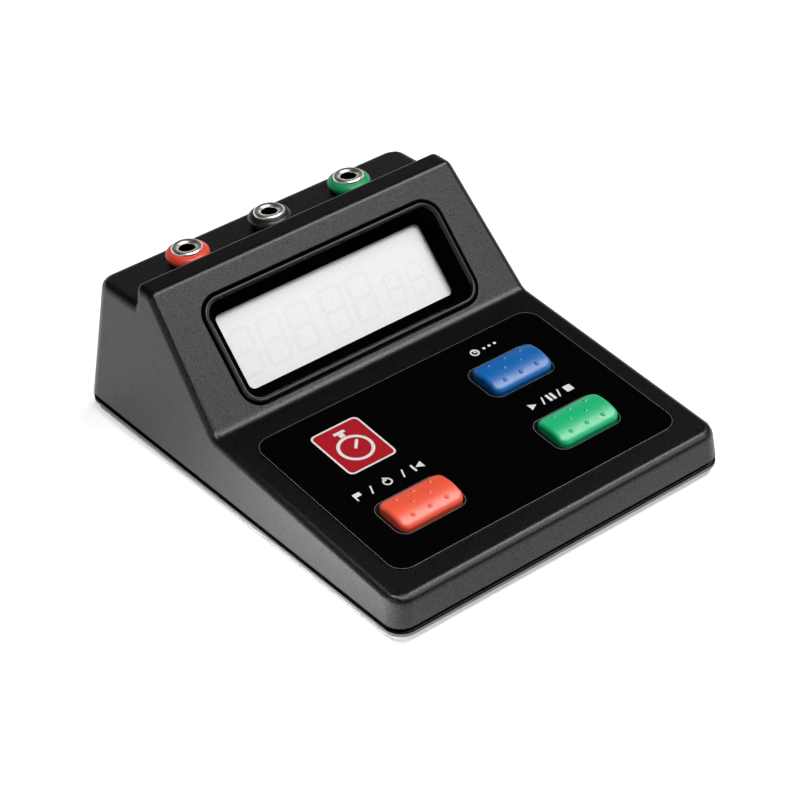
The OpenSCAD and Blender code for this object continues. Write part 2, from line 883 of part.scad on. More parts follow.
// Display cell: a front glass and a shorter rear glass that leaves the contact ledges free
module lcd_glass() {
    color("#ecebea") on_face() {
        translate([-glass_w / 2, -glass_d / 2, -zebra_z]) cube([glass_w, glass_d, glass_t]);
        translate([-glass_w / 2, -glass_d / 2 + glass_ledge, -zebra_z - glass_t])
            cube([glass_w, glass_d - 2 * glass_ledge, glass_t]);
    }
}

// Rubber contact strips between the glass ledges and the board
module zebra_strips() {
    strip_v = window_h / 2 + glass_side - glass_ledge / 2;
    color("#e9c8c8") on_face()
        for (v = [-strip_v, strip_v])
            translate([-window_w / 2, v - zebra_w / 2, -display_board_z]) cube([window_w, zebra_w, zebra_h]);
}

// Resin drop over the clock chip, behind the display board
module timer_chip() {
    round_r = (drop_r ^ 2 + drop_h ^ 2) / (2 * drop_h);
    color("#101112") on_face() translate([0, 0, -display_board_z - board_t]) rotate([180, 0, 0])
        rotate_extrude() intersection() {
            square([drop_r, drop_h]);
            translate([0, drop_h - round_r]) circle(round_r, $fn = 96);
        }
}

// Crystal can lying on the display board
module quartz_crystal() {
    color("#c8ccd0") on_face() translate([can_x, -can_len / 2, -display_board_z - board_t - can_r])
        rotate([-90, 0, 0]) cylinder(r = can_r, h = can_len);
}

// Flat cable that links the two boards
module ribbon_cable() {
    panel_dir = [cos(panel_slope), sin(panel_slope)];
    panel_up = [-sin(panel_slope), cos(panel_slope)];
    face_dir = [cos(face_slope), sin(face_slope)];
    face_up = [-sin(face_slope), cos(face_slope)];
    between_up = unit(panel_up + face_up);
    from_end = [0, panel_h] + (switch_board_back - cable_inset) * panel_dir - switch_board_z * panel_up;
    to_end = [crease_y, crease_z] + (display_v - display_board_h / 2 + cable_inset) * face_dir
        - display_board_z * face_up;
    path = [from_end - cable_landing * panel_dir, from_end, to_end, to_end + cable_end * face_dir];
    lift = [panel_up, between_up, between_up, face_up];
    color("#9a9ca0") in_case() translate([-cable_w / 2, 0, 0]) rotate([90, 0, 90]) linear_extrude(cable_w)
        polygon(concat(path, [for (k = [len(path) - 1:-1:0]) path[k] + cable_t * lift[k]]));
}

// Moulded collar with a bulging side and a shank that lines the hole in the ledge
module socket_collar(place) {
    bulge = collar_h / 2;
    on_ledge() translate([place[1], 0, 0]) rotate_extrude() difference() {
        union() {
            square([collar_r - bulge, collar_h]);
            translate([collar_r - bulge, bulge]) circle(bulge);
            translate([0, -wall]) square([collar_shank_r, wall + eps]);
        }
        translate([-1, -wall - 1]) square([tube_r + shank_gap + 1, wall + collar_h + 2]);
    }
}

module red_socket_collar() {
    color("#e8442e") socket_collar(ledge_places[0]);
}

module black_socket_collar() {
    color("#141415") socket_collar(ledge_places[1]);
}

module green_socket_collar() {
    color("#0f7a44") socket_collar(ledge_places[2]);
}

// Plated contact tube with a flange on the collar and a blind bore for a 4 mm plug
module socket_tube(place) {
    color("#c9cac8") on_ledge() translate([place[1], 0, 0]) difference() {
        rotate_extrude() {
            translate([0, -tube_drop]) square([tube_r, tube_drop + tube_top]);
            translate([0, collar_h]) square([flange_r, flange_h - tube_soft]);
            translate([0, collar_h]) square([flange_r - tube_soft, flange_h]);
            translate([flange_r - tube_soft, tube_top - tube_soft]) circle(tube_soft);
        }
        translate([0, 0, bore_end - tube_drop]) cylinder(r = bore_r, h = tube_drop + tube_top);
        translate([0, 0, tube_top - mouth_chamfer])
            cylinder(r1 = bore_r, r2 = bore_r + mouth_chamfer + eps, h = mouth_chamfer + eps);
    }
}

module red_socket_tube() {
    socket_tube(ledge_places[0]);
}

module black_socket_tube() {
    socket_tube(ledge_places[1]);
}

module green_socket_tube() {
    socket_tube(ledge_places[2]);
}

// Insulating washers, solder tags and nuts below the ledge
module under_ledge(top) {
    for (place = ledge_places)
        on_ledge() translate([place[1], 0, -top]) children();
}

module socket_washers() {
    color("#202022") under_ledge(wall + washer_t) difference() {
        cylinder(r = collar_r, h = washer_t);
        translate([0, 0, -1]) cylinder(r = tube_r + shank_gap, h = washer_t + 2);
    }
}

module socket_tags() {
    color("#d2b46a") under_ledge(wall + washer_t + tag_t) difference() {
        union() {
            cylinder(r = nut_flats / 2, h = tag_t);
            translate([-tag_w / 2, -tag_len, 0]) cube([tag_w, tag_len, tag_t]);
        }
        translate([0, 0, -1]) cylinder(r = tube_r + shank_gap, h = tag_t + 2);
        translate([0, tag_hole_in - tag_len, -1]) cylinder(r = tag_hole_r, h = tag_t + 2);
    }
}

module socket_nuts() {
    color("#c9cac8") under_ledge(wall + washer_t + tag_t + nut_h) difference() {
        cylinder(r = nut_flats / 2 / cos(30), h = nut_h, $fn = 6);
        translate([0, 0, -1]) cylinder(r = tube_r + shank_gap, h = nut_h + 2);
    }
}

// Round cell lying across the case, nub to the right
module battery_cell() {
    color("#3b6f52") from_front() translate([cell_left, bay_y, cell_z]) rotate([0, 90, 0]) {
        rotate_extrude() difference() {
            square([cell_d / 2, cell_len - nub_h]);
            for (z = [0, cell_len - nub_h])
                translate([cell_d / 2, z]) circle(cell_groove_r);
        }
        cylinder(r = nub_r, h = cell_len);
    }
}

// Flat contact on an end wall of the battery bay, from x on
module contact(x) {
    from_front() translate([x, bay_y - contact_w / 2, cell_z - contact_h / 2])
        cube([contact_t, contact_w, contact_h]);
}

module battery_plate() {
    color("#c8ccd0") contact(bay_len / 2 - contact_t);
}

// Conical coil spring on its contact at the flat end of the cell
module battery_spring() {
    rise = spring_room - 2 * wire_r;
    last = coil_turns * coil_steps;
    function coil(t) =
        let (r = coil_wide_r + (coil_narrow_r - coil_wide_r) * t, a = 360 * coil_turns * t)
        [r * cos(a), r * sin(a), wire_r + rise * t];
    function wire_ring(t) =
        let (
            ahead = unit(coil(t + eps) - coil(t - eps)),
            out = unit(cross(ahead, [0, 0, 1])),
            up = cross(out, ahead)
        )
        [for (k = [0:wire_sides - 1])
            let (a = 360 * (k + 0.5) / wire_sides)
            coil(t) + wire_r / cos(180 / wire_sides) * (cos(a) * out + sin(a) * up)];
    color("#c8ccd0") {
        contact(-bay_len / 2);
        from_front() translate([contact_t - bay_len / 2, bay_y, cell_z]) rotate([0, 90, 0])
            skin([for (k = [0:last]) wire_ring(k / last)]);
    }
}

// Sliding door under the cell, with rails along its sides and grip grooves
module battery_door() {
    depth = door_back - door_front;
    lip_top = rim_z - rim_t - door_gap;
    color("#b9b8b2") from_front() difference() {
        union() {
            translate([-door_w / 2, door_front, tray_z]) cube([door_w, depth, door_t]);
            translate([-door_w / 2 - rail_in, door_front, rail_z])
                cube([door_w + 2 * rail_in, depth - door_lip_t - rim_out, rail_t]);
            translate([-door_w / 2, door_back - door_lip_t, tray_z])
                cube([door_w, door_lip_t, lip_top - tray_z]);
        }
        for (k = [-2:2])
            translate([-grip_w / 2, (door_front + door_back) / 2 + k * grip_pitch, tray_z]) rotate([0, 90, 0])
                cylinder(r = grip_r, h = grip_w);
    }
}

top_case();
base_tray();
case_screws();
rubber_feet();
panel_overlay();
display_bezel();
display_window();
lcd_glass();
zebra_strips();
display_board();
switch_board();
ribbon_cable();
board_screws();
timer_chip();
quartz_crystal();
sounder_disc();
blue_switch();
green_switch();
red_switch();
blue_plunger();
green_plunger();
red_plunger();
blue_button();
green_button();
red_button();
red_socket_collar();
black_socket_collar();
green_socket_collar();
red_socket_tube();
black_socket_tube();
green_socket_tube();
socket_washers();
socket_tags();
socket_nuts();
battery_cell();
battery_plate();
battery_spring();
battery_door();
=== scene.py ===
import math

import bmesh
import bpy
from mathutils import Matrix, Vector


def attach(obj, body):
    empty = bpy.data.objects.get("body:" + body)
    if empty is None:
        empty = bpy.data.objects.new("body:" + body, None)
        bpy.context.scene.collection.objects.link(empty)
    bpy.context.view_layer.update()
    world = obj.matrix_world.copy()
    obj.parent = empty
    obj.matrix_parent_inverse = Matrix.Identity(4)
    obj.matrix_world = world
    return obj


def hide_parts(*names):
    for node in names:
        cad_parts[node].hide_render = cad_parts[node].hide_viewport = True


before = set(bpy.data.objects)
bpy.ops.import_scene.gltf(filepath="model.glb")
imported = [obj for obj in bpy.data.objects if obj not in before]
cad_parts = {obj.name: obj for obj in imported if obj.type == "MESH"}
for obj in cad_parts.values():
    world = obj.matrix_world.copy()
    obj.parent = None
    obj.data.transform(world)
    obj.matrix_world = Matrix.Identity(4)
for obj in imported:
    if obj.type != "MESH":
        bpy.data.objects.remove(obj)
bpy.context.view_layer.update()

bl_info = {
    "name": "Bench stopwatch",
    "version": (1, 0, 0),
    "blender": (4, 5, 0),
    "location": "3D View > Sidebar > Stopwatch",
    "description": "Dresses a bench stopwatch with a sloped case, three keys, a display and three sockets",
    "category": "Object",
}

MM = 0.001
SAME_POINT = 1e-6


# Small tools for selecting, placing and finishing a mesh

def only(obj):
    """Selects one object alone and makes it the active one."""
    if bpy.context.mode != "OBJECT":
        bpy.ops.object.mode_set(mode="OBJECT")
    bpy.ops.object.select_all(action="DESELECT")
    obj.select_set(True)
    bpy.context.view_layer.objects.active = obj
    return obj


def name_piece(obj, name):
    """Gives an object and its mesh one name."""
    obj.name = name
    obj.data.name = name
    return obj


def at(x, y, z=0):
    """A move along the three axes."""
    return Matrix.Translation((x, y, z))


def spin(angle, axis="Z"):
    """A turn about an axis, in radians."""
    return Matrix.Rotation(angle, 4, axis)


def settle(obj, place):
    """Moves a shape to its place and keeps the place in its mesh."""
    only(obj)
    obj.matrix_world = place
    bpy.ops.object.transform_apply()
    return obj


def new_object(name, data):
    """Puts a mesh, a lamp or a camera into the scene."""
    obj = bpy.data.objects.new(name, data)
    bpy.context.scene.collection.objects.link(obj)
    return obj


def twin(obj):
    """Copies a shape together with its mesh."""
    return new_object(obj.name, obj.data.copy())


def join(shapes, name):
    """Joins shapes into one piece."""
    only(shapes[0])
    for shape in shapes[1:]:
        shape.select_set(True)
    bpy.ops.object.join()
    return name_piece(bpy.context.object, name)


def modify(obj, kind, **settings):
    """Adds a modifier with its settings and applies it."""
    only(obj)
    bpy.ops.object.modifier_add(type=kind)
    modifier = obj.modifiers[-1]
    for key, value in settings.items():
        setattr(modifier, key, value)
    bpy.ops.object.modifier_apply(modifier=modifier.name)
    return obj


def combine(obj, tool, operation):
    """Cuts a tool shape out of a piece, or fuses it on."""
    modify(obj, "BOOLEAN", operation=operation, solver="EXACT", object=tool)
    bpy.data.objects.remove(tool)
    return obj


def smooth(obj, angle=35):
    """Shades a piece smooth up to an angle, with the large flat faces kept flat."""
    only(obj)
    bpy.ops.object.shade_smooth_by_angle(angle=math.radians(angle))
    return modify(obj, "WEIGHTED_NORMAL", keep_sharp=True)


# Shapes that the pieces start from

def outline(width, depth, radius, height, steps):
    """Adds the edge of a rectangle with round corners, flat at one height."""
    bpy.ops.mesh.primitive_plane_add(size=1, location=(0, 0, height))
    obj = bpy.context.object
    obj.scale = (width, depth, 1)
    bpy.ops.object.transform_apply()
    bpy.ops.object.mode_set(mode="EDIT")
    bpy.ops.mesh.select_all(action="SELECT")
    bpy.ops.mesh.bevel(offset=radius, segments=steps, affect="VERTICES", clamp_overlap=False)
    bpy.ops.mesh.select_all(action="SELECT")
    bpy.ops.mesh.delete(type="ONLY_FACE")
    bpy.ops.object.mode_set(mode="OBJECT")
    return obj


def drawn_in(rectangle, inset, height):
    """A ring for a stack: a rectangle (width, depth, corner radius) drawn in evenly, or out if negative."""
    width, depth, radius = rectangle
    return (width - 2 * inset, depth - 2 * inset, radius - inset, height)


def pick_loops(obj, size, wanted):
    """Selects whole edge loops of a stack by their number."""
    bpy.ops.mesh.select_mode(type="EDGE")
    bpy.ops.mesh.select_all(action="DESELECT")
    mesh = bmesh.from_edit_mesh(obj.data)
    mesh.verts.index_update()
    for edge in mesh.edges:
        first, second = (vert.index // size for vert in edge.verts)
        edge.select_set(first == second and first in wanted)
    bmesh.update_edit_mesh(obj.data)


def stack(rings, steps=8, ring_shape=False):
    """Bridges round-cornered outlines, each (width, depth, corner radius, height), into one skin.

    A plain stack gets a cap at each end, and a ring shape joins its last outline to its first.
    """
    loops = [outline(*ring, steps) for ring in rings]
    obj = loops[0]
    size = len(obj.data.vertices)
    for loop in loops[1:]:
        only(obj)
        loop.select_set(True)
        bpy.ops.object.join()
    only(obj)
    bpy.ops.object.mode_set(mode="EDIT")
    last = len(rings) - 1
    pairs = [(k, k + 1) for k in range(last)]
    if ring_shape:
        pairs.append((last, 0))
    for pair in pairs:
        pick_loops(obj, size, pair)
        bpy.ops.mesh.bridge_edge_loops()
    if not ring_shape:
        for end in (0, last):
            pick_loops(obj, size, (end,))
            bpy.ops.mesh.edge_face_add()
    bpy.ops.mesh.select_all(action="SELECT")
    bpy.ops.mesh.normals_make_consistent(inside=False)
    bpy.ops.object.mode_set(mode="OBJECT")
    return obj


def turn(profile, steps=64, ring_shape=False):
    """Turns a profile of (radius, height) points by extruding a circle from point to point.

    A plain profile gets a cap at each end, and a ring shape joins its last point to its first.
    """
    radius, height = profile[0]
    bpy.ops.mesh.primitive_circle_add(
        vertices=steps, radius=radius, location=(0, 0, height), fill_type="NOTHING" if ring_shape else "NGON")
    obj = bpy.context.object
    bpy.ops.object.transform_apply()
    bpy.ops.object.mode_set(mode="EDIT")
    bpy.ops.mesh.select_mode(type="EDGE")
    bpy.ops.mesh.select_all(action="SELECT")
    targets = profile[1:] + (profile[:1] if ring_shape else [])
    for next_radius, next_height in targets:
        bpy.ops.mesh.extrude_edges_move(
            TRANSFORM_OT_translate={"value": (0, 0, next_height - height)})
        grow = next_radius / radius
        bpy.ops.transform.resize(value=(grow, grow, 1), center_override=(0, 0, 0))
        radius, height = next_radius, next_height
    if not ring_shape:
        bpy.ops.mesh.edge_face_add()
    bpy.ops.mesh.select_all(action="SELECT")
    bpy.ops.mesh.remove_doubles(threshold=SAME_POINT)
    bpy.ops.mesh.normals_make_consistent(inside=False)
    bpy.ops.object.mode_set(mode="OBJECT")
    return obj


def arc(x, z, radius, start, end, steps):
    """Points along an arc of a profile, angles in degrees."""
    angles = [math.radians(start + (end - start) * k / steps) for k in range(steps + 1)]
    return [(x + radius * math.cos(a), z + radius * math.sin(a)) for a in angles]


def pick_rim(obj, place, half_width, half_depth):
    """Selects the edges of an opening that lies in a plane, by its half sizes there."""
    bpy.ops.mesh.select_mode(type="EDGE")
    bpy.ops.mesh.select_all(action="DESELECT")
    inward = place.inverted()
    reach = (half_width, half_depth, 0.03 * MM)
    mesh = bmesh.from_edit_mesh(obj.data)
    for edge in mesh.edges:
        ends = [inward @ vert.co for vert in edge.verts]
        edge.select_set(all(abs(end[k]) < reach[k] for end in ends for k in range(3)))
    bmesh.update_edit_mesh(obj.data)


def moulding(node, name, edge, rim=None, lip=0.0):
    """Copies a CAD moulding, merges it and rounds the sharp edges that a tool would leave soft.

    The rim is an opening, given by its plane and half sizes, whose edge gets the wider rounding of the lip.
    """
    sharp, flat = 50, 0.4
    obj = only(name_piece(twin(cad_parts[node]), name))
    bpy.ops.mesh.customdata_custom_splitnormals_clear()
    bpy.ops.object.mode_set(mode="EDIT")
    bpy.ops.mesh.select_all(action="SELECT")
    bpy.ops.mesh.remove_doubles(threshold=2 * SAME_POINT)
    bpy.ops.mesh.dissolve_limited(angle_limit=math.radians(flat))
    if rim:
        pick_rim(obj, *rim)
        bpy.ops.mesh.bevel(offset=lip, segments=4, affect="EDGES", clamp_overlap=True)
    bpy.ops.object.mode_set(mode="OBJECT")
    modify(obj, "BEVEL", width=edge, segments=2, limit_method="ANGLE", angle_limit=math.radians(sharp))
    return smooth(obj, 32)


# Places of the three working surfaces, in the frame of the case

PANEL = at(0, -63.5 * MM, 13.2 * MM) @ spin(math.radians(5.1), "X")
FACE = at(0, 7.901 * MM, 19.572 * MM) @ spin(math.radians(46.6), "X") @ at(0, 16.6 * MM)
LEDGE = at(0, 39.46 * MM, 40.7 * MM) @ spin(math.radians(-2), "X") @ at(0, 9.3 * MM)

# Keys on the panel, and how far the openings of the sheet lie to the left and front of them
KEY_PLACES = {
    "blue": (23.75 * MM, 47.6 * MM),
    "green": (23.75 * MM, 23.3 * MM),
    "red": (-24.25 * MM, 23.3 * MM),
}
OPENING_SHIFT = (-0.4 * MM, -0.15 * MM)


# Materials

MICROMETRE = 1e-6
# Half width in millimetres of the change from one colour or sheen to the next
BLUR = 0.05


def linear(colour):
    """Turns an sRGB hex colour into linear values, and passes on the linear values of a property."""
    if not isinstance(colour, str):
        return tuple(colour)
    values = [int(colour[k:k + 2], 16) / 255 for k in (1, 3, 5)]
    return tuple(v / 12.92 if v <= 0.04045 else ((v + 0.055) / 1.055) ** 2.4 for v in values) + (1.0,)


def add(tree, kind, values=None, links=None, **settings):
    """Adds one node with its settings, its input values and its links."""
    node = tree.nodes.new(kind)
    for key, value in settings.items():
        setattr(node, key, value)
    for key, value in (values or {}).items():
        node.inputs[key].default_value = value
    for key, socket in (links or {}).items():
        tree.links.new(socket, node.inputs[key])
    return node


def empty_tree(owner):
    """Gives a material or a world an empty node tree."""
    owner.use_nodes = True
    owner.node_tree.nodes.clear()
    return owner.node_tree


def per_mm(size):
    """Texture scale that gives a pattern of this size in millimetres."""
    return 1 / (size * MM)


def finish(name, colour, other, rough, grain, relief, blotch=9.0, metallic=0.0, pits=None, gap=None,
           above=(), up=(0, 0, 1), constants=None):
    """Builds a surface from two close colours, a roughness range and a grain with its relief.

    The grain and the blotches that carry the second colour are sizes in millimetres, and the relief is
    the height of the grain in micrometres. Pits give the range of the sheen from the bottom of the grain
    to its top, gap is the height in millimetres below which the surface with pits has no sheen, a painted shade,
    and above lists heights in millimetres with the colour painted over each, which here paints shade on the
    tray's rim and, with a dark base colour, in the socket bores. Heights are measured along up.
    """
    material = bpy.data.materials.new(name)
    tree = empty_tree(material)
    place = add(tree, "ShaderNodeTexCoord").outputs["Object"]
    cloud = add(tree, "ShaderNodeTexNoise", {"Scale": per_mm(blotch), "Detail": 3.0}, {"Vector": place})
    noise = add(tree, "ShaderNodeTexNoise", {"Scale": per_mm(grain), "Detail": 2.0, "Roughness": 0.6},
                {"Vector": place})
    fine = noise.outputs["Fac"]
    tint = add(tree, "ShaderNodeMix", {6: linear(colour), 7: linear(other)}, {0: cloud.outputs["Fac"]},
               data_type="RGBA")
    gloss = add(tree, "ShaderNodeMapRange",
                {"From Min": 0.3, "From Max": 0.7, "To Min": rough[0], "To Max": rough[1]}, {"Value": fine})
    bump = add(tree, "ShaderNodeBump", {"Strength": 1.0, "Distance": relief * MICROMETRE}, {"Height": fine})
    links = {"Base Color": tint.outputs[2], "Roughness": gloss.outputs["Result"], "Normal": bump.outputs["Normal"]}
    if pits:
        sheen = add(tree, "ShaderNodeMapRange",
                    {"From Min": 0.35, "From Max": 0.65, "To Min": pits[0], "To Max": pits[1]}, {"Value": fine})
        links["Specular IOR Level"] = sheen.outputs["Result"]
    if gap or above:
        height = add(tree, "ShaderNodeVectorMath", {1: up}, {0: place}, operation="DOT_PRODUCT").outputs["Value"]
    # Painted shade: below the gap height the sheen is taken away, as if the surface lay in shade
    if gap:
        painted_shade_mask = add(tree, "ShaderNodeMapRange",
                  {"From Min": (gap - BLUR) * MM, "From Max": (gap + BLUR) * MM}, {"Value": height})
        sheen_with_painted_shade = add(tree, "ShaderNodeMath", operation="MULTIPLY",
                         links={0: sheen.outputs["Result"], 1: painted_shade_mask.outputs["Result"]})
        links["Specular IOR Level"] = sheen_with_painted_shade.outputs[0]
    # Colours by height, each painted over its height: the script uses them to paint shade on the tray's rim and in
    # the socket bores
    for level, shade in above:
        step = add(tree, "ShaderNodeMapRange",
                   {"From Min": (level - BLUR) * MM, "From Max": (level + BLUR) * MM}, {"Value": height})
        rim = add(tree, "ShaderNodeMix", {7: linear(shade)}, {0: step.outputs["Result"], 6: links["Base Color"]},
                  data_type="RGBA")
        links["Base Color"] = rim.outputs[2]
    shader = add(tree, "ShaderNodeBsdfPrincipled", {"Metallic": metallic, **(constants or {})}, links)
    add(tree, "ShaderNodeOutputMaterial", links={"Surface": shader.outputs["BSDF"]})
    return material


def wear(obj, material):
    """Puts one material on a piece or a CAD node."""
    obj.data.materials.clear()
    obj.data.materials.append(material)
    return obj


def fit(obj, body, slot, *nodes):
    """Hangs a piece on its body and hides the CAD nodes that it stands for; the slot is not used."""
    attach(obj, body)
    if nodes:
        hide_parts(*nodes)
    return obj


# Sizes and colours that a user would change

def length(title, text, size):
    """A length property whose default is in millimetres."""
    return bpy.props.FloatProperty(name=title, description=text, default=size * MM, unit="LENGTH", precision=5)


def hue(title, text, colour):
    """A colour property whose default is an sRGB hex value."""
    return bpy.props.FloatVectorProperty(
        name=title, description=text, subtype="COLOR", size=4, min=0.0, max=1.0, default=linear(colour))


def power(title, text, watts):
    """The power of a lamp."""
    return bpy.props.FloatProperty(name=title, description=text, default=watts, min=0.0, unit="POWER")


class CaseFinish(bpy.types.PropertyGroup):
    """The two mouldings and the battery door."""
    case_edge: length("Case edge", "Rounding of the sharp edges of the case", 0.3)
    lip: length("Display lip", "Rounding of the case round the display frame", 1.1)
    tray_edge: length("Tray edge", "Rounding of the sharp edges of the tray", 0.14)
    grain: length("Grain", "Size of the moulded texture", 0.22)
    case_colour: hue("Case", "Moulded case", "#060607")
    tray_colour: hue("Tray", "Moulded tray and door", "#F2F2F0")
    # Painted shade: this darker grey stands in for the shade on the tray's rim
    rim_colour: hue("Tray rim", "Shaded rim of the tray", "#7C7C7A")


class PanelSizes(bpy.types.PropertyGroup):
    """The printed sheet on the key panel."""
    width: length("Sheet width", "Width of the printed sheet", 86.1)
    depth: length("Sheet depth", "Length of the printed sheet down the slope", 56.13)
    corner: length("Sheet corner", "Corner radius of the sheet", 4.5)
    thick: length("Sheet thickness", "Thickness of the sheet", 0.35)
    front: length("Sheet front", "Distance of the sheet from the front edge of the panel", 7.95)
    ink: length("Ink height", "Height of the raised ink", 0.02)
    sign: length("Sign height", "Height of the printed signs", 2.5)
    sheet_edge: length("Sheet edge", "Height of the rounding along the edges of the sheet", 0.05)
    key_gap: length("Key opening", "Gap between a key and the edge of the sheet", 0.7)
    cut: length("Cut edge", "Width of the pale cut edge round a key opening", 0.12)
    sheet_colour: hue("Sheet", "Glossy sheet", "#030304")
    # Painted highlight: this pale grey of the cut edge stands in for light caught on the sheet's rounded edge
    edge_highlight_colour: hue("Cut edge", "Clear layer of the sheet where it is cut", "#6E7074")
    ink_colour: hue("Ink", "White ink", "#ECECEA")
    tile_colour: hue("Tile", "Printed tile", "#B5202B")


class KeySizes(bpy.types.PropertyGroup):
    """The three keys."""
    width: length("Key width", "Width of a key at its foot", 18.4)
    depth: length("Key depth", "Depth of a key at its foot", 10.8)
    height: length("Key height", "Height of the crown above the panel", 2.5)
    corner: length("Key corner", "Corner radius of the foot seen from above", 2.2)
    foot: length("Key foot", "Height of the foot above the panel", -0.3)
    edge: length("Key edge", "Height of the rounding of the top edge", 0.9)
    shoulder: length("Key shoulder", "Width of the rounding of the top edge", 0.9)
    crown: length("Crown radius", "Radius of the crown from front to back", 12)
    pip: length("Pip radius", "Radius of the round pips", 0.75)
    pitch: length("Pip pitch", "Distance from pip to pip", 5)
    rows: length("Pip rows", "Distance from row to row", 3.1)
    blue: hue("Blue key", "Colour of the upper right key", "#0468B6")
    green: hue("Green key", "Colour of the lower right key", "#10C07C")
    red: hue("Red key", "Colour of the left key", "#FF5E40")


class DisplaySizes(bpy.types.PropertyGroup):
    """The display frame and the segments behind the pane."""
    width: length("Frame width", "Width of the display frame", 71.9)
    depth: length("Frame depth", "Height of the frame up the face", 28.4)
    corner: length("Frame corner", "Corner radius of the frame", 5)
    window_width: length("Window width", "Clear width of the display", 63.2)
    window_depth: length("Window height", "Clear height of the display", 20.1)
    window_corner: length("Window corner", "Corner radius of the window", 1.6)
    digit_height: length("Digit height", "Height of a digit", 11.5)
    digit_width: length("Digit width", "Width of a digit", 6.2)
    stroke: length("Segment width", "Width of a segment", 1.1)
    frame_colour: hue("Frame", "Satin frame", "#020203")
    glass_colour: hue("Display", "Pale display ground", "#FAF9F7")
    segment_colour: hue("Segments", "Resting segments", "#F4F3F1")


class SocketSizes(bpy.types.PropertyGroup):
    """The three sockets on the ledge."""
    pitch: length("Socket pitch", "Distance from socket to socket", 25)
    bore: length("Bore radius", "Radius of the plug bore", 2)
    flange: length("Flange radius", "Radius of the plated rim", 4.05)
    collar: length("Collar radius", "Radius of the insulating collar", 5.6)
    collar_height: length("Collar height", "Height of the collar above the ledge", 3)
    slit: length("Slit width", "Width of the slits in the contact tube", 0.6)
    nickel: hue("Plating", "Plated rim", "#F4F1EB")
    red: hue("Red collar", "Left collar", "#F04834")
    black: hue("Black collar", "Middle collar", "#171718")
    green: hue("Green collar", "Right collar", "#149A58")


class StageSettings(bpy.types.PropertyGroup):
    """Floor, lamps and camera."""
    floor_colour: hue("Floor", "Pale floor", "#F4F4F4")
    floor_lift: bpy.props.FloatProperty(
        name="Floor lift", description="How far the floor is lifted towards white for the eye", default=0.6,
        min=0.0, max=1.0, subtype="FACTOR")
    left_power: power("Left lamp", "Power of the left softbox", 1.0)
    front_power: power("Front lamp", "Power of the front softbox", 4.2)
    grid_power: power("Floor lamp", "Power of the lamp over the floor at the left", 0.09)
    top_power: power("Top lamp", "Power of the top softbox", 12.0)
    crown_power: power("Crown lamp", "Power of the lamp over the keys", 5.0)


# Pieces

class STOPWATCH_OT_mouldings(bpy.types.Operator):
    """Dress the case, the tray and the battery door"""
    bl_idname = "stopwatch.mouldings"
    bl_label = "Mouldings"

    def execute(self, context):
        sizes = context.scene.stopwatch_case
        painted_gap_shade_top, painted_rim_shade_low, painted_gap_black_low = 5.55, 3.2, 4.03
        # Spark-eroded ABS: a fine pebble, drawn coarser than real to show, that breaks every highlight into grains
        # Painted shade: below the top of the shadow gap the case has no sheen, so its lip and lowest wall read black
        # as if shaded
        abs_black = finish("ABS_spark_textured_black", sizes.case_colour, "#080809", (0.26, 0.34),
                           sizes.grain / MM, 20, pits=(0.2, 0.62), gap=painted_gap_shade_top, constants={"IOR": 1.56})
        # Plain ABS in light grey: satin from a finer tool finish. Painted shade: the rim is painted darker grey and
        # its top face near black, where the case shades it in the shadow gap.
        abs_grey = finish("ABS_satin_grey", sizes.tray_colour, "#ECECEA", (0.36, 0.5), 0.5, 8,
                          above=[(painted_rim_shade_low, sizes.rim_colour), (painted_gap_black_low, "#0A0A0A")],
                          constants={"IOR": 1.53, "Specular IOR Level": 0.15})
        display_opening = (FACE, 37.2 * MM, 15.2 * MM)
        case = moulding("top_case", "case_shell", sizes.case_edge, display_opening, sizes.lip)
        fit(wear(case, abs_black), "case", "case_plastic", "top_case")
        tray = moulding("base_tray", "tray_shell", sizes.tray_edge)
        fit(wear(tray, abs_grey), "case", "tray_plastic", "base_tray")
        door = moulding("battery_door", "battery_cover", sizes.tray_edge)
        fit(wear(door, abs_grey), "door", "tray_plastic", "battery_door")
        return {"FINISHED"}


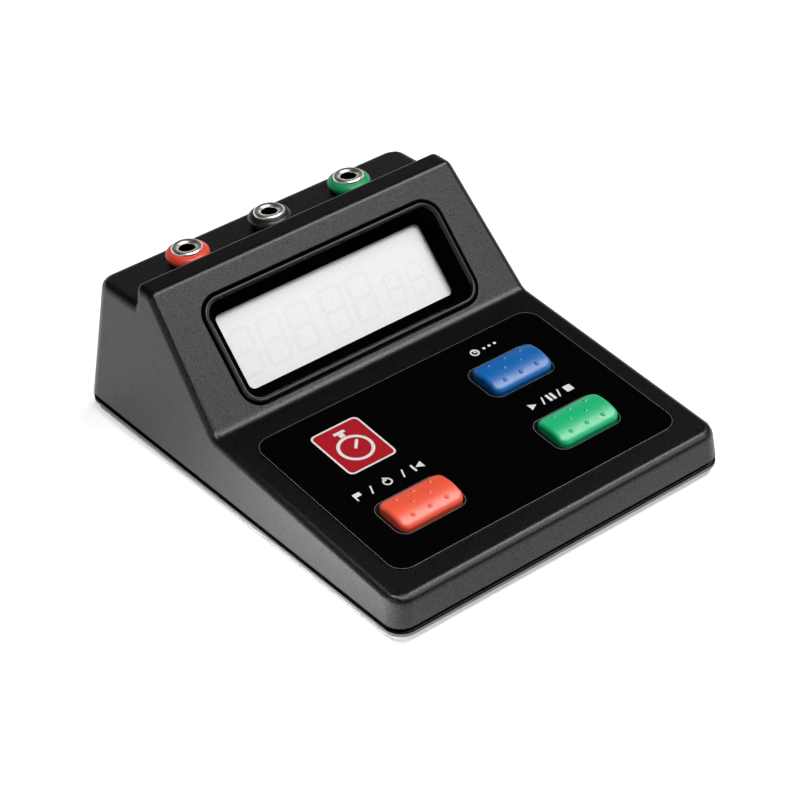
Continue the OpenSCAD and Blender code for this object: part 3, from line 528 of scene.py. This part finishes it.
class STOPWATCH_OT_panel(bpy.types.Operator):
    """Lay the glossy sheet on the key panel and line its cut edges with a painted highlight"""
    bl_idname = "stopwatch.panel"
    bl_label = "Panel sheet"

    def hair(self, rectangle, inset, line, x, y, level):
        """A hair-fine frame round a rectangle that is drawn in, flush with the top of the sheet."""
        sunk, proud = 0.01 * MM, 0.005 * MM
        low, high = level - sunk, level + proud
        corners = ((inset, low), (inset, high), (inset - line, high), (inset - line, low))
        obj = stack([drawn_in(rectangle, shift, z) for shift, z in corners], ring_shape=True)
        return settle(obj, at(x, y))

    def execute(self, context):
        sizes = context.scene.stopwatch_panel
        keys = context.scene.stopwatch_keys
        # Polyester film printed on its back: deep black below a clear gloss, with a faint waviness
        film = finish("polyester_film_gloss_black", sizes.sheet_colour, "#040405", (0.07, 0.12), 6.0, 4,
                      constants={"IOR": 1.45})
        soft = sizes.sheet_edge
        rounding = [(2 * (soft - x), sizes.thick - soft + z) for x, z in arc(0, 0, soft, 0, 90, 5)]
        whole = (sizes.width, sizes.depth, sizes.corner)
        middle = sizes.front + sizes.depth / 2
        sheet = stack([drawn_in(whole, inset, z) for inset, z in [(0, 0)] + rounding], steps=12)
        settle(sheet, at(0, middle))
        openings = [(x + OPENING_SHIFT[0], y + OPENING_SHIFT[1]) for x, y in KEY_PLACES.values()]
        key = (keys.width, keys.depth, keys.corner)
        gaps = [(sizes.key_gap + inset, z) for inset, z in [(0, -MM)] + rounding + [(2 * soft, MM)]]
        for x, y in openings:
            hole = stack([drawn_in(key, -gap, z) for gap, z in gaps])
            settle(hole, at(x, y))
            combine(sheet, hole, "DIFFERENCE")
        settle(sheet, PANEL)
        smooth(sheet)
        fit(wear(name_piece(sheet, "panel_sheet"), film), "case", "overlay_film", "panel_overlay")
        # Cut film: a pale hair painted round the openings and along the outline, a painted highlight for the light
        # that the rounded cut edge catches
        clear = finish("polyester_film_cut_edge", sizes.edge_highlight_colour, sizes.edge_highlight_colour, (0.4, 0.5), 0.3, 2)
        hairs = [self.hair(key, -sizes.key_gap - 2 * soft, sizes.cut, x, y, sizes.thick) for x, y in openings]
        line = 0.75 * sizes.cut
        hairs.append(self.hair(whole, 2 * soft + line, line, 0, middle, sizes.thick))
        hair = settle(join(hairs, "sheet_cut_edges"), PANEL)
        fit(wear(hair, clear), "case", "overlay_film")
        return {"FINISHED"}


class STOPWATCH_OT_signs(bpy.types.Operator):
    """Print plain signs above the keys and a tile beside them"""
    bl_idname = "stopwatch.signs"
    bl_label = "Printed signs"

    def plate(self, width, depth, corner, x, y, low, high, turned=0.0):
        """A thin printed plate, turned and moved on the panel."""
        obj = stack([(width, depth, corner, low), (width, depth, corner, high)], steps=3)
        return settle(obj, at(x, y) @ spin(turned))

    def ring(self, outer, inner, x, y, low, high):
        """A thin printed ring."""
        obj = turn([(inner, low), (inner, high), (outer, high), (outer, low)], steps=48, ring_shape=True)
        return settle(obj, at(x, y))

    def arrow(self, size, x, y, low, high, turned=0.0):
        """A thin printed triangle that points along +X before it is turned."""
        obj = turn([(size, low), (size, high)], steps=3)
        return settle(obj, at(x, y) @ spin(turned - math.pi / 2))

    def execute(self, context):
        sizes = context.scene.stopwatch_panel
        # Screen ink in white: opaque, with a slight mesh texture
        white = finish("screen_ink_white", sizes.ink_colour, "#E4E4E2", (0.3, 0.42), 0.3, 2)
        # Screen ink in red: an even tile, glossier than the white lines
        red = finish("screen_ink_red", sizes.tile_colour, "#AE1E29", (0.16, 0.24), 0.3, 1)
        low = sizes.thick - 0.005 * MM
        high = sizes.thick + sizes.ink
        coat = 0.01 * MM
        tall = sizes.sign
        line, soft = 0.42 * MM, 0.1 * MM
        loop = (tall / 2, tall / 2 - line)
        # Clock and a row of dots over the upper right key
        x, y = 20.9 * MM, 58.4 * MM
        parts = [
            self.ring(*loop, x, y, low, high),
            self.plate(line, 0.9 * MM, soft, x, y + 0.3 * MM, low, high),
            self.plate(0.8 * MM, line, soft, x + 0.25 * MM, y, low, high),
        ]
        for k in range(3):
            dot = turn([(line, low), (line, high)], steps=24)
            parts.append(settle(dot, at(x + (2.9 + 1.7 * k) * MM, y)))
        # Slashes between the signs over the two front keys
        y = 34.1 * MM
        for x in (22.1, 27.1, -30.3, -21.0):
            parts.append(self.plate(line, tall * 1.1, soft, x * MM, y, low, high, math.radians(-22)))
        # Run, halt and stop signs over the lower right key
        parts.append(self.arrow(1.35 * MM, 18.6 * MM, y, low, high))
        for x in (23.95, 25.25):
            parts.append(self.plate(0.75 * MM, tall, soft, x * MM, y, low, high))
        parts.append(self.plate(tall * 0.88, tall * 0.88, 0.15 * MM, 30.2 * MM, y, low, high))
        # Flag, loop and return signs over the left key
        parts += [
            self.plate(line, tall, soft, -35.0 * MM, y, low, high),
            self.plate(1.7 * MM, 1.3 * MM, soft, -34.0 * MM, y + 0.6 * MM, low, high),
            self.ring(*loop, -25.6 * MM, y, low, high),
            self.arrow(0.95 * MM, -25.6 * MM, y + tall / 2 - line / 2, low, high),
            self.plate(0.6 * MM, tall, soft, -17.9 * MM, y, low, high),
            self.arrow(1.35 * MM, -15.9 * MM, y, low, high, math.pi),
        ]
        # Plain tile with a timing dial, each print a coat above the last
        x, y = -24.05 * MM, 49.15 * MM
        wide, deep = 14.1 * MM, 16.7 * MM
        dial, dial_high = y - MM, high + 2 * coat
        tile = self.plate(wide - MM, deep - MM, 1.1 * MM, x, y, low, high + coat)
        parts += [
            self.plate(wide, deep, 1.5 * MM, x, y, low, high),
            self.ring(4.6 * MM, 3.75 * MM, x, dial, low, dial_high),
            self.plate(1.5 * MM, 1.5 * MM, soft, x, dial + 5.5 * MM, low, dial_high),
            self.plate(3.2 * MM, 0.9 * MM, 0.2 * MM, x, dial + 6.6 * MM, low, dial_high),
            self.plate(0.75 * MM, 3.4 * MM, 0.3 * MM, x + 0.9 * MM, dial + MM, low, dial_high, math.radians(-42)),
        ]
        ink = settle(join(parts, "printed_signs"), PANEL)
        fit(wear(ink, white), "case", "overlay_film")
        settle(name_piece(tile, "printed_tile"), PANEL)
        fit(wear(tile, red), "case", "overlay_film")
        return {"FINISHED"}


class STOPWATCH_OT_keys(bpy.types.Operator):
    """Shape one crowned key and fit it in three colours"""
    bl_idname = "stopwatch.keys"
    bl_label = "Keys"

    def crown(self, obj, sizes):
        """Cuts the key into strips and lowers them to a crown from front to back."""
        only(obj)
        bpy.ops.object.mode_set(mode="EDIT")
        strips = 14
        for k in range(1 - strips // 2, strips // 2):
            bpy.ops.mesh.select_all(action="SELECT")
            bpy.ops.mesh.bisect(plane_co=(0, k * sizes.depth / strips, 0), plane_no=(0, 1, 0))
        mesh = bmesh.from_edit_mesh(obj.data)
        rise = sizes.height - sizes.edge - sizes.foot
        for vert in mesh.verts:
            share = min(max((vert.co.z - sizes.foot) / rise, 0), 1)
            vert.co.z -= share * vert.co.y ** 2 / (2 * sizes.crown)
        bmesh.update_edit_mesh(obj.data)
        bpy.ops.object.mode_set(mode="OBJECT")

    def execute(self, context):
        sizes = context.scene.stopwatch_keys
        # Heights of the cap's lower end, of the ears that hold it below the panel and of the stem
        low, ears_low, stem_low, stem_high = -2.5 * MM, -3.5 * MM, -3.9 * MM, -3.4 * MM
        ear, sliver, stem_radius, sunk = 1.2 * MM, 0.02 * MM, 2.2 * MM, 0.45 * MM
        foot = (sizes.width, sizes.depth, sizes.corner)
        rings = [(*foot, low), (*foot, sizes.foot)]
        for x, z in arc(0, 0, sizes.edge, 0, 90, 8):
            rings.append(drawn_in(foot, sizes.shoulder * (1 - x / sizes.edge), sizes.height - sizes.edge + z))
        key = stack(rings)
        self.crown(key, sizes)
        pips = []
        for row in (-1, 0, 1):
            for x in ((-0.5, 0.5) if row == 0 else (-1, 0, 1)):
                y = row * sizes.rows
                bpy.ops.mesh.primitive_uv_sphere_add(
                    segments=20, ring_count=12, radius=sizes.pip,
                    location=(x * sizes.pitch, y, sizes.height - y ** 2 / (2 * sizes.crown) - sunk))
                bpy.ops.object.transform_apply()
                pips.append(bpy.context.object)
        combine(key, join(pips, "pips"), "UNION")
        ears = stack([(sizes.width + 2 * ear, sizes.depth - sliver, sizes.corner, z) for z in (ears_low, low)])
        combine(key, ears, "UNION")
        stem = turn([(stem_radius, stem_low), (stem_radius, stem_high)], steps=32)
        combine(key, stem, "UNION")
        smooth(key, 38)
        # Moulded keys: coloured plastic with a soft sheen and a hardly visible grain
        for colour, (x, y) in KEY_PLACES.items():
            shade = getattr(sizes, colour)
            plastic = finish(f"ABS_sheen_{colour}", shade, shade, (0.3, 0.4), 0.6, 4,
                             constants={"IOR": 1.5, "Specular IOR Level": 0.85})
            cap = name_piece(twin(key), f"{colour}_key_cap")
            settle(cap, PANEL @ at(x, y))
            fit(wear(cap, plastic), f"{colour}_key", f"{colour}_key_plastic", f"{colour}_button")
        bpy.data.objects.remove(key)
        return {"FINISHED"}


class STOPWATCH_OT_display(bpy.types.Operator):
    """Frame the display and lay the resting segments behind the pane"""
    bl_idname = "stopwatch.display"
    bl_label = "Display"

    def digit(self, sizes, low, high):
        """Seven pointed bars of one upright digit."""
        wide, tall, line = sizes.digit_width, sizes.digit_height, sizes.stroke
        gap = 0.25 * MM
        bars = []
        for x, y, upright in ((0, 1, False), (0, 0, False), (0, -1, False),
                              (-1, 0.5, True), (1, 0.5, True), (-1, -0.5, True), (1, -0.5, True)):
            reach = ((tall / 2 if upright else wide) - gap) / 2
            bar = turn([(reach, low), (reach, high)], steps=6)
            only(bar)
            bpy.ops.object.mode_set(mode="EDIT")
            mesh = bmesh.from_edit_mesh(bar.data)
            for vert in mesh.verts:
                tip = abs(vert.co.y) > 0.9 * reach
                vert.co.x = 0 if tip else math.copysign(line / 2, vert.co.x)
                vert.co.y = math.copysign(reach if tip else reach - line / 2, vert.co.y)
            bmesh.update_edit_mesh(bar.data)
            bpy.ops.object.mode_set(mode="OBJECT")
            place = at(x * wide / 2, y * tall / 2)
            settle(bar, place @ spin(0 if upright else math.pi / 2))
            bars.append(bar)
        return join(bars, "digit")

    def execute(self, context):
        sizes = context.scene.stopwatch_display
        # Satin ABS: a bead with a soft line of light round a funnel. Painted shade: below the bead the funnel has no
        # sheen, so it stays black as if in shade.
        up = tuple(FACE.to_3x3() @ Vector((0, 0, 1)))
        level = Vector(up).dot(FACE.to_translation()) / MM
        painted_shade_depth = 0.4
        satin = finish("ABS_satin_black", sizes.frame_colour, "#040405", (0.26, 0.34), 0.4, 5,
                       pits=(0.4, 0.56), gap=level - painted_shade_depth, up=up, constants={"IOR": 1.5})
        bead, proud, back = 1.1 * MM, 0.25 * MM, -4.8 * MM
        whole = (sizes.width, sizes.depth, sizes.corner)
        rings = [(*whole, back)]
        for x, z in arc(bead / 2, proud - bead / 2, bead / 2, 180, 20, 10):
            rings.append(drawn_in(whole, x, z))
        # Funnel from the bead to the window: share of the way in, and height in millimetres
        start = drawn_in(whole, bead, 0)
        window = (sizes.window_width, sizes.window_depth, sizes.window_corner)
        for share, z in ((0.2, -0.89), (0.45, -1.87), (0.7, -2.85), (0.93, -3.75), (0.975, -4.05), (1.0, -4.25)):
            rings.append((*(a + share * (b - a) for a, b in zip(start, window)), z * MM))
        rings.append((*window, back))
        surround = stack(rings, steps=12, ring_shape=True)
        # Flange that holds the frame behind the opening of the case
        skirt, sunk = 2.25 * MM, 0.4 * MM
        low, high = -3.4 * MM, -2.2 * MM
        inner = (sizes.width - sunk, sizes.depth - sunk, sizes.corner)
        outer = [drawn_in(whole, -skirt, z) for z in (low, high)]
        flange = stack([(*inner, low), *outer, (*inner, high)], steps=12, ring_shape=True)
        combine(surround, flange, "UNION")
        settle(surround, FACE)
        smooth(surround, 30)
        fit(wear(name_piece(surround, "display_frame"), satin), "case", "bezel_plastic", "display_bezel")

        # Cast acrylic: clear, with a faint sheen
        clear = finish("acrylic_clear", "#FFFFFF", "#FDFEFF", (0.04, 0.08), 4.0, 1,
                       constants={"IOR": 1.49, "Alpha": 0.05})
        whole = (70 * MM, 26.9 * MM, 4 * MM)
        low, high, soft = -5.7 * MM, -4.81 * MM, 0.15 * MM
        pane = stack([drawn_in(whole, inset, z)
                      for inset, z in ((soft, low), (0, low + soft), (0, high - soft), (soft, high))])
        smooth(settle(pane, FACE))
        fit(wear(name_piece(pane, "display_pane"), clear), "case", "clear_pane", "display_window")

        # Liquid crystal segments at rest: hardly darker than the pale ground
        resting = finish("liquid_crystal_resting", sizes.segment_colour, sizes.segment_colour, (0.5, 0.6), 0.4, 1)
        model = self.digit(sizes, -5.79 * MM, -5.77 * MM)
        # The digits lean a little to the right
        lean = Matrix.Identity(4)
        lean[0][1] = 0.09
        model.data.transform(lean)
        # Five large digits and two small ones on the same base line: place and scale
        small, half = 0.72, 5.7
        digits = []
        for x, scale in ((-27.6, 1), (-19, 1), (-10.4, 1), (-0.2, 1), (8.4, 1), (17.8, small), (25, small)):
            place = at(x * MM, (-1 + (scale - 1) * half) * MM)
            digits.append(settle(twin(model), place @ Matrix.Diagonal((scale, scale, 1, 1))))
        bpy.data.objects.remove(model)
        segments = settle(join(digits, "display_segments"), FACE)
        fit(wear(segments, resting), "case", "display_glass")
        return {"FINISHED"}


class STOPWATCH_OT_sockets(bpy.types.Operator):
    """Turn one socket and its collar, and fit them in three colours"""
    bl_idname = "stopwatch.sockets"
    bl_label = "Sockets"

    def execute(self, context):
        sizes = context.scene.stopwatch_sockets
        rim_thick = 0.8 * MM
        top = sizes.collar_height + rim_thick
        bore_end, tube_end, tube_radius = -14 * MM, -15 * MM, 3 * MM
        soft = 0.75 * MM
        # Up the bore, over the dished and domed rim and down the outside of the tube
        profile = [(sizes.bore, bore_end)]
        profile += [(sizes.bore + out * MM, top - down * MM)
                    for out, down in ((0, 0.75), (0.12, 0.5), (0.4, 0.2), (0.75, 0.04))]
        profile += arc(sizes.flange - soft, top - soft, soft, 105, 0, 8)
        profile += [(sizes.flange, sizes.collar_height), (tube_radius, sizes.collar_height), (tube_radius, tube_end)]
        tube = turn(profile)
        slit = stack([(sizes.slit, 7 * MM, 0.1 * MM, z) for z in (-9 * MM, 1.5 * MM)], steps=2)
        combine(tube, slit, "DIFFERENCE")
        smooth(tube, 30)
        half = sizes.collar_height / 2
        hole, shank, shank_end = 3.1 * MM, 3.95 * MM, -2.2 * MM
        ring = [(hole, shank_end), (hole, sizes.collar_height)]
        ring += arc(sizes.collar - half, half, half, 90, -90, 12)
        ring += [(shank, 0), (shank, shank_end)]
        collar = turn(ring, ring_shape=True)
        smooth(collar, 40)
        # Nickel over turned brass: a bright rim, and below it a bore painted dark grey, a painted shade where little
        # light reaches
        bore_shade_top = 43.45
        nickel = finish("nickel_plated_brass", "#26262A", "#202024", (0.3, 0.4), 0.5, 3, metallic=1.0,
                        above=[(bore_shade_top, sizes.nickel)])
        for colour, x in (("red", -sizes.pitch), ("black", 0), ("green", sizes.pitch)):
            shade = getattr(sizes, colour)
            # Moulded nylon: waxy, with a soft broad highlight
            nylon = finish(f"nylon_{colour}", shade, shade, (0.3, 0.42), 0.5, 4, constants={"IOR": 1.53})
            place = LEDGE @ at(x, 0)
            rim = settle(name_piece(twin(tube), f"{colour}_socket_rim"), place)
            fit(wear(rim, nickel), "case", "plated_brass", f"{colour}_socket_tube")
            body = settle(name_piece(twin(collar), f"{colour}_socket_ring"), place)
            fit(wear(body, nylon), "case", f"{colour}_collar_plastic", f"{colour}_socket_collar")
        bpy.data.objects.remove(tube)
        bpy.data.objects.remove(collar)
        return {"FINISHED"}


class STOPWATCH_OT_screws(bpy.types.Operator):
    """Turn one case screw with a cross recess and copy it to the corners"""
    bl_idname = "stopwatch.screws"
    bl_label = "Case screws"

    def execute(self, context):
        # Zinc-plated steel: cool grey with fine rolling marks
        zinc = finish("zinc_plated_steel", "#B4B7BA", "#A5A8AC", (0.25, 0.4), 0.4, 4, metallic=1.0)
        head, face = 2.4 * MM, 4.4 * MM
        head_radius, shaft = 2.8 * MM, 1.4 * MM
        screw = turn([(1.9 * MM, head), (2.5 * MM, head + 0.25 * MM), (head_radius, head + 0.8 * MM),
                      (head_radius, face), (shaft, face), (shaft, face + 5.5 * MM), (0.5 * MM, face + 6.2 * MM)],
                     steps=40)
        for turned in (0, math.pi / 2):
            bar = stack([(3.0 * MM, 0.75 * MM, 0.2 * MM, head - 0.2 * MM),
                         (1.8 * MM, 0.6 * MM, 0.15 * MM, head + 1.1 * MM)], steps=3)
            settle(bar, spin(turned))
            combine(screw, bar, "DIFFERENCE")
        smooth(screw, 30)
        screws = []
        for x in (-41.5, 41.5):
            for y in (-54.0, 50.5):
                screws.append(settle(twin(screw), at(x * MM, y * MM) @ spin(0.02 * x + 0.03 * y)))
        bpy.data.objects.remove(screw)
        fit(wear(join(screws, "case_screw_set"), zinc), "case", "screw_steel", "case_screws")
        return {"FINISHED"}


class STOPWATCH_OT_inner_parts(bpy.types.Operator):
    """Give every CAD node that still shows its own material"""
    bl_idname = "stopwatch.inner_parts"
    bl_label = "Inner parts"

    def execute(self, context):
        glass = context.scene.stopwatch_display.glass_colour
        keys = tuple(KEY_PLACES)
        looks = [
            # Polariser over the liquid crystal: a pale, even, slightly silky ground
            (finish("polariser_pale", glass, "#F7F7F4", (0.5, 0.6), 2.0, 0.5, blotch=22), "lcd_glass"),
            # Circuit board: green solder resist with a weave below it
            (finish("epoxy_board_green", "#1F5A38", "#24633F", (0.3, 0.45), 0.7, 6), "display_board", "switch_board"),
            # Soft rubber: dull black that scatters the light
            (finish("rubber_black", "#1B1B1B", "#232323", (0.7, 0.85), 0.5, 20), "rubber_feet"),
            # Conductive rubber: dull, with fine carbon layers
            (finish("conductive_rubber", "#4A4A4C", "#2E2E30", (0.6, 0.75), 0.2, 8, blotch=0.4), "zebra_strips"),
            # Grey PVC: a soft, slightly uneven skin round the wires
            (finish("PVC_grey", "#9A9CA0", "#8E9095", (0.4, 0.55), 0.8, 6), "ribbon_cable"),
            # Cast resin: a wet-looking black drop over the chip
            (finish("resin_black", "#0D0D0E", "#151516", (0.15, 0.3), 1.2, 8), "timer_chip"),
            # Drawn nickel silver: the bright can of the crystal
            (finish("nickel_drawn_can", "#B9BABA", "#A9AAAC", (0.25, 0.4), 0.6, 4, metallic=1.0), "quartz_crystal"),
            # Rolled brass: the warm disc of the beeper
            (finish("brass_rolled", "#C9A85A", "#B8964B", (0.25, 0.4), 0.7, 5, metallic=1.0), "sounder_disc"),
            # Black nylon: a matt housing that hides its seams
            (finish("nylon_switch_black", "#1A1A1C", "#222224", (0.4, 0.55), 0.5, 6), *(f"{k}_switch" for k in keys)),
            # Natural nylon: a milky plunger
            (finish("nylon_natural", "#E6E3D8", "#DCD8CB", (0.35, 0.5), 0.5, 5), *(f"{k}_plunger" for k in keys)),
            # Zinc-plated steel: cool grey screws
            (finish("steel_zinc_small", "#B0B3B6", "#A2A5A9", (0.25, 0.4), 0.4, 4, metallic=1.0), "board_screws"),
            # Nickel-plated brass: warmer grey than the screws
            (finish("nickel_plated_hardware", "#C4C2BD", "#B7B5B0", (0.2, 0.34), 0.5, 4, metallic=1.0),
             "socket_nuts", "socket_tags"),
            # Black nylon washers: matt, with a fine mould texture
            (finish("nylon_washer_black", "#1C1C1E", "#242426", (0.45, 0.6), 0.5, 6), "socket_washers"),
            # Shrunk sleeve round the cell: plain slate grey with a soft sheen
            (finish("PVC_sleeve_silver", "#5B6470", "#545D69", (0.25, 0.36), 1.0, 4), "battery_cell"),
            # Nickel-plated spring steel: bright contacts
            (finish("spring_steel_nickel", "#B8B8B5", "#A6A6A4", (0.22, 0.35), 0.4, 4, metallic=1.0),
             "battery_plate", "battery_spring"),
        ]
        for material, *nodes in looks:
            for node in nodes:
                wear(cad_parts[node], material)
        return {"FINISHED"}


class STOPWATCH_OT_stage(bpy.types.Operator):
    """Set the floor, the soft lamps and the camera"""
    bl_idname = "stopwatch.stage"
    bl_label = "Stage"

    def floor(self, sizes):
        """A large pale floor that shows white to the eye and keeps the shadow."""
        bpy.ops.mesh.primitive_grid_add(x_subdivisions=4, y_subdivisions=4, size=12, location=(0, 0, -0.05 * MM))
        floor = name_piece(bpy.context.object, "floor")
        bpy.ops.object.transform_apply()
        # Backdrop paper: even white, with only the soft shadow left on it
        material = bpy.data.materials.new("paper_backdrop_white")
        tree = empty_tree(material)
        near, far, mirror_share = 0.3, 1.0, 0.65
        path = add(tree, "ShaderNodeLightPath")
        mirrored = add(tree, "ShaderNodeMath", {1: mirror_share}, {0: path.outputs["Is Glossy Ray"]},
                       operation="MULTIPLY")
        seen = add(tree, "ShaderNodeMath", operation="MAXIMUM",
                   links={0: path.outputs["Is Camera Ray"], 1: mirrored.outputs[0]})
        seen = add(tree, "ShaderNodeMath", operation="MAXIMUM",
                   links={0: seen.outputs[0], 1: path.outputs["Is Transmission Ray"]})
        place = add(tree, "ShaderNodeTexCoord").outputs["Object"]
        away = add(tree, "ShaderNodeVectorMath", links={0: place}, operation="LENGTH").outputs["Value"]
        lift = add(tree, "ShaderNodeMapRange",
                   {"From Min": near, "From Max": far, "To Min": sizes.floor_lift, "To Max": 1.0}, {"Value": away})
        share = add(tree, "ShaderNodeMath", operation="MULTIPLY",
                    links={0: seen.outputs[0], 1: lift.outputs["Result"]})
        paper = add(tree, "ShaderNodeBsdfDiffuse", {"Color": linear(sizes.floor_colour)})
        glow = add(tree, "ShaderNodeEmission", {"Color": (1, 1, 1, 1)}, {"Strength": share.outputs[0]})
        mix = add(tree, "ShaderNodeAddShader", links={0: paper.outputs[0], 1: glow.outputs[0]})
        add(tree, "ShaderNodeOutputMaterial", links={"Surface": mix.outputs[0]})
        wear(floor, material)

    def lamp(self, name, place, target, wide, high, power, colour, spread=180):
        """A softbox that faces a point, with a grid where its spread is narrow."""
        light = bpy.data.lights.new(name, "AREA")
        light.shape = "RECTANGLE"
        light.size, light.size_y = wide, high
        light.energy = power
        light.color = linear(colour)[:3]
        light.spread = math.radians(spread)
        obj = new_object(name, light)
        obj.visible_camera = False
        obj.location = place
        obj.rotation_euler = (Vector(target) - Vector(place)).to_track_quat("-Z", "Y").to_euler()

    def world(self):
        """A white cove near the horizon under a dark ceiling, white where the camera sees it."""
        world = bpy.data.worlds.new("studio_cove")
        bpy.context.scene.world = world
        tree = empty_tree(world)
        cove_full, cove_end, ceiling = 0.14, 0.4, 0.008
        bright_side, blend, dim = (0.6, 0.8, 0), 0.4, 0.3
        way = add(tree, "ShaderNodeTexCoord").outputs["Generated"]
        parts = add(tree, "ShaderNodeSeparateXYZ", links={"Vector": way})
        height = add(tree, "ShaderNodeMapRange",
                     {"From Min": cove_full, "From Max": cove_end, "To Min": 1.0, "To Max": 0.0},
                     {"Value": parts.outputs["Z"]})
        ahead = add(tree, "ShaderNodeVectorMath", {1: bright_side}, {0: way}, operation="DOT_PRODUCT")
        behind = add(tree, "ShaderNodeMapRange",
                     {"From Min": -blend, "From Max": blend, "To Min": dim, "To Max": 1.0},
                     {"Value": ahead.outputs["Value"]})
        cove = add(tree, "ShaderNodeMath", operation="MULTIPLY",
                   links={0: height.outputs["Result"], 1: behind.outputs["Result"]})
        path = add(tree, "ShaderNodeLightPath")
        mirrored = add(tree, "ShaderNodeMath", {2: ceiling}, {0: cove.outputs[0], 1: path.outputs["Is Glossy Ray"]},
                       operation="MULTIPLY_ADD")
        seen = add(tree, "ShaderNodeMath", operation="MAXIMUM",
                   links={0: path.outputs["Is Camera Ray"], 1: path.outputs["Is Transmission Ray"]})
        level = add(tree, "ShaderNodeMath", operation="MAXIMUM",
                    links={0: seen.outputs[0], 1: mirrored.outputs[0]})
        sky = add(tree, "ShaderNodeBackground", {"Color": (1, 1, 1, 1)}, {"Strength": level.outputs[0]})
        add(tree, "ShaderNodeOutputWorld", links={"Surface": sky.outputs[0]})

    def camera(self):
        """The camera at the place, turn and lens that were fitted to the view, with its small tilt."""
        azimuth, elevation, roll = (math.radians(a) for a in (-36.96, 35.81, -2.94))
        back = Vector((math.sin(azimuth) * math.cos(elevation), -math.cos(azimuth) * math.cos(elevation),
                       math.sin(elevation)))
        across = Vector((math.cos(azimuth), math.sin(azimuth), 0))
        up = back.cross(across)
        right = math.cos(roll) * across + math.sin(roll) * up
        over = -math.sin(roll) * across + math.cos(roll) * up
        data = bpy.data.cameras.new("view")
        data.sensor_width = 36
        data.lens = 121.98
        data.shift_x, data.shift_y = -0.02113, -0.00223
        data.clip_start, data.clip_end = 0.01, 50
        obj = new_object("view", data)
        facing = Matrix((right, over, back)).transposed().to_4x4()
        obj.matrix_world = Matrix.Translation(Vector((-319.93, -433.70, 400.66)) * MM) @ facing
        bpy.context.scene.camera = obj

    def execute(self, context):
        sizes = context.scene.stopwatch_stage
        self.floor(sizes)
        middle = (0, 0, 0.02)
        white = "#FFFFFF"
        self.lamp("left_softbox", (-1.15, -0.35, 0.5), middle, 0.9, 0.7, sizes.left_power, white)
        self.lamp("floor_softbox", (-0.1, -0.03, 0.11), (-0.1, -0.03, 0), 0.05, 0.08, sizes.grid_power, white, 60)
        self.lamp("front_softbox", (0.70, -0.80, 1.02), middle, 0.56, 0.8, sizes.front_power, "#F6F9FF")
        self.lamp("top_softbox", (-0.05, -0.6, 1.42), middle, 0.8, 0.8, sizes.top_power, white)
        self.lamp("crown_softbox", (0.585, -0.1, 1.04), middle, 0.44, 0.44, sizes.crown_power, white)
        self.world()
        self.camera()
        context.scene.view_settings.view_transform = "Standard"
        return {"FINISHED"}


class STOPWATCH_PT_pieces(bpy.types.Panel):
    """Lists the settings and the pieces of the stopwatch"""
    bl_idname = "STOPWATCH_PT_pieces"
    bl_label = "Stopwatch"
    bl_space_type = "VIEW_3D"
    bl_region_type = "UI"
    bl_category = "Stopwatch"

    def draw(self, context):
        for name, group in GROUPS.items():
            box = self.layout.box()
            for setting in group.__annotations__:
                box.prop(getattr(context.scene, name), setting)
        for operator in OPERATORS:
            self.layout.operator(operator.bl_idname)


GROUPS = {
    "stopwatch_case": CaseFinish, "stopwatch_panel": PanelSizes, "stopwatch_keys": KeySizes,
    "stopwatch_display": DisplaySizes, "stopwatch_sockets": SocketSizes, "stopwatch_stage": StageSettings,
}
OPERATORS = (
    STOPWATCH_OT_mouldings, STOPWATCH_OT_panel, STOPWATCH_OT_signs, STOPWATCH_OT_keys, STOPWATCH_OT_display,
    STOPWATCH_OT_sockets, STOPWATCH_OT_screws, STOPWATCH_OT_inner_parts, STOPWATCH_OT_stage,
)


def register():
    """Registers the settings, the operators and the panel."""
    for name, group in GROUPS.items():
        bpy.utils.register_class(group)
        setattr(bpy.types.Scene, name, bpy.props.PointerProperty(type=group))
    for cls in OPERATORS:
        bpy.utils.register_class(cls)
    bpy.utils.register_class(STOPWATCH_PT_pieces)


def unregister():
    """Takes the panel, the operators and the settings away again."""
    bpy.utils.unregister_class(STOPWATCH_PT_pieces)
    for cls in reversed(OPERATORS):
        bpy.utils.unregister_class(cls)
    for name, group in GROUPS.items():
        delattr(bpy.types.Scene, name)
        bpy.utils.unregister_class(group)


def main():
    """Builds every piece and the stage."""
    register()
    bpy.ops.stopwatch.mouldings()
    bpy.ops.stopwatch.panel()
    bpy.ops.stopwatch.signs()
    bpy.ops.stopwatch.keys()
    bpy.ops.stopwatch.display()
    bpy.ops.stopwatch.sockets()
    bpy.ops.stopwatch.screws()
    bpy.ops.stopwatch.inner_parts()
    bpy.ops.stopwatch.stage()


if __name__ == "__main__":
    main()
